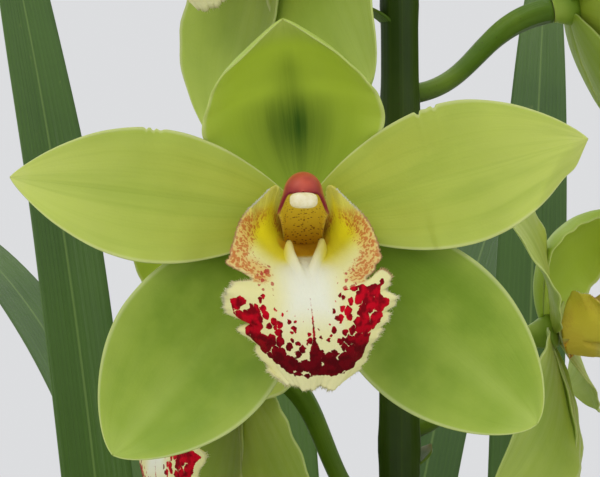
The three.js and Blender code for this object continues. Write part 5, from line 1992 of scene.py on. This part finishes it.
def round_floor():
    """A flat round floor: rings of points at even steps, round a middle face."""
    radius = np.linspace(FLOOR_RADIUS / FLOOR_RINGS, FLOOR_RADIUS, FLOOR_RINGS)[:, None]
    P = around(0, 0, radius, circle(FLOOR_SIDES), 0)
    faces = grid_quads(FLOOR_RINGS, FLOOR_SIDES, wrap=True).tolist() + [list(range(FLOOR_SIDES))]
    mesh = bpy.data.meshes.new("floor")
    mesh.from_pydata(P.reshape(-1, 3).tolist(), [], faces)
    mesh.materials.append(stage_material())
    sheet = linked("floor", mesh)


def area_light(name, at, aim, size, power, light_colour):
    """A round soft lamp that looks at aim."""
    data = bpy.data.lights.new(name, "AREA")
    data.shape = "DISK"
    data.size = size
    data.energy = power
    data.color = light_colour
    lamp = linked(name, data)
    lamp.location = at
    lamp.visible_camera = False
    way = np.array(aim) - np.array(at)
    lamp.rotation_euler = Vector(way.tolist()).to_track_quat("-Z", "Y").to_euler()


LAMPS = [
    # name, place and aim in metres, width, power in watts, colour
    ("key", (-0.9, -1.5, 1.9), (0.0, -0.05, 0.5), 1.1, 10, (1.0, 0.98, 0.94)),
    ("fill", (1.6, -1.2, 1.0), (0.0, 0.0, 0.5), 1.6, 3, (0.94, 0.97, 1.0)),
    ("top", (0.2, 0.4, 2.2), (0.0, 0.0, 0.6), 1.4, 5, (1.0, 1.0, 1.0)),
    ("front", (0.15, -2.4, 1.2), (0.0, 0.0, 0.5), 1.4, 3, (1.0, 0.99, 0.96)),
    ("back", (-0.7, 2.2, 1.6), (0.0, 0.0, 0.45), 1.6, 5, (1.0, 0.99, 0.97)),
]
round_floor()
for lamp in LAMPS:
    area_light(*lamp)
world = bpy.data.worlds.new("studio")
world.use_nodes = True
fill(world.node_tree.nodes["Background"], Color=(0.97, 0.98, 1.0, 1.0), Strength=0.74)
bpy.context.scene.world = world
bpy.context.scene.view_settings.view_transform = "Standard"
print("stage ready, lamps:", len(LAMPS))


# %% [markdown]
# ## Camera
# The camera stands 550 mm in front of the front bloom, near its height, and looks straight back
# through a long lens. The lens follows from how many millimetres one pixel of the photo covers in
# the bloom's plane, so that the bloom fills the picture as it does in the photo.

# %% Camera
# Millimetres a pixel, the picture's width in pixels, and how many pixels the bloom's middle lies
# right of the picture's middle and above it
PIXEL, PICTURE_WIDTH, RIGHT_OF_MIDDLE, ABOVE_MIDDLE = 0.2185, 600, 3, 23.5
DISTANCE, SENSOR = 550.0, 36.0
hero = np.array(next(bloom["centre"] for bloom in BLOOMS if bloom["name"] == FRONT), float)
camera_data = bpy.data.cameras.new("camera")
camera_data.sensor_width = SENSOR
camera_data.lens = SENSOR * DISTANCE / (PICTURE_WIDTH * PIXEL)
camera_data.clip_start = 0.02
camera_data.clip_end = 20.0
camera = linked("camera", camera_data)
eye = hero + np.array([-RIGHT_OF_MIDDLE * PIXEL, -DISTANCE, -ABOVE_MIDDLE * PIXEL])
camera.location = (eye / MILLIMETRES).tolist()
camera.rotation_euler = (math.radians(90), 0.0, 0.0)
bpy.context.scene.camera = camera
print("camera lens: %.1f mm" % camera_data.lens)


# %% [markdown]
# ## Finish
# The number of triangles that the finer pieces add is printed.

# %% Finish
print("triangles added:", sum(tally.values()))
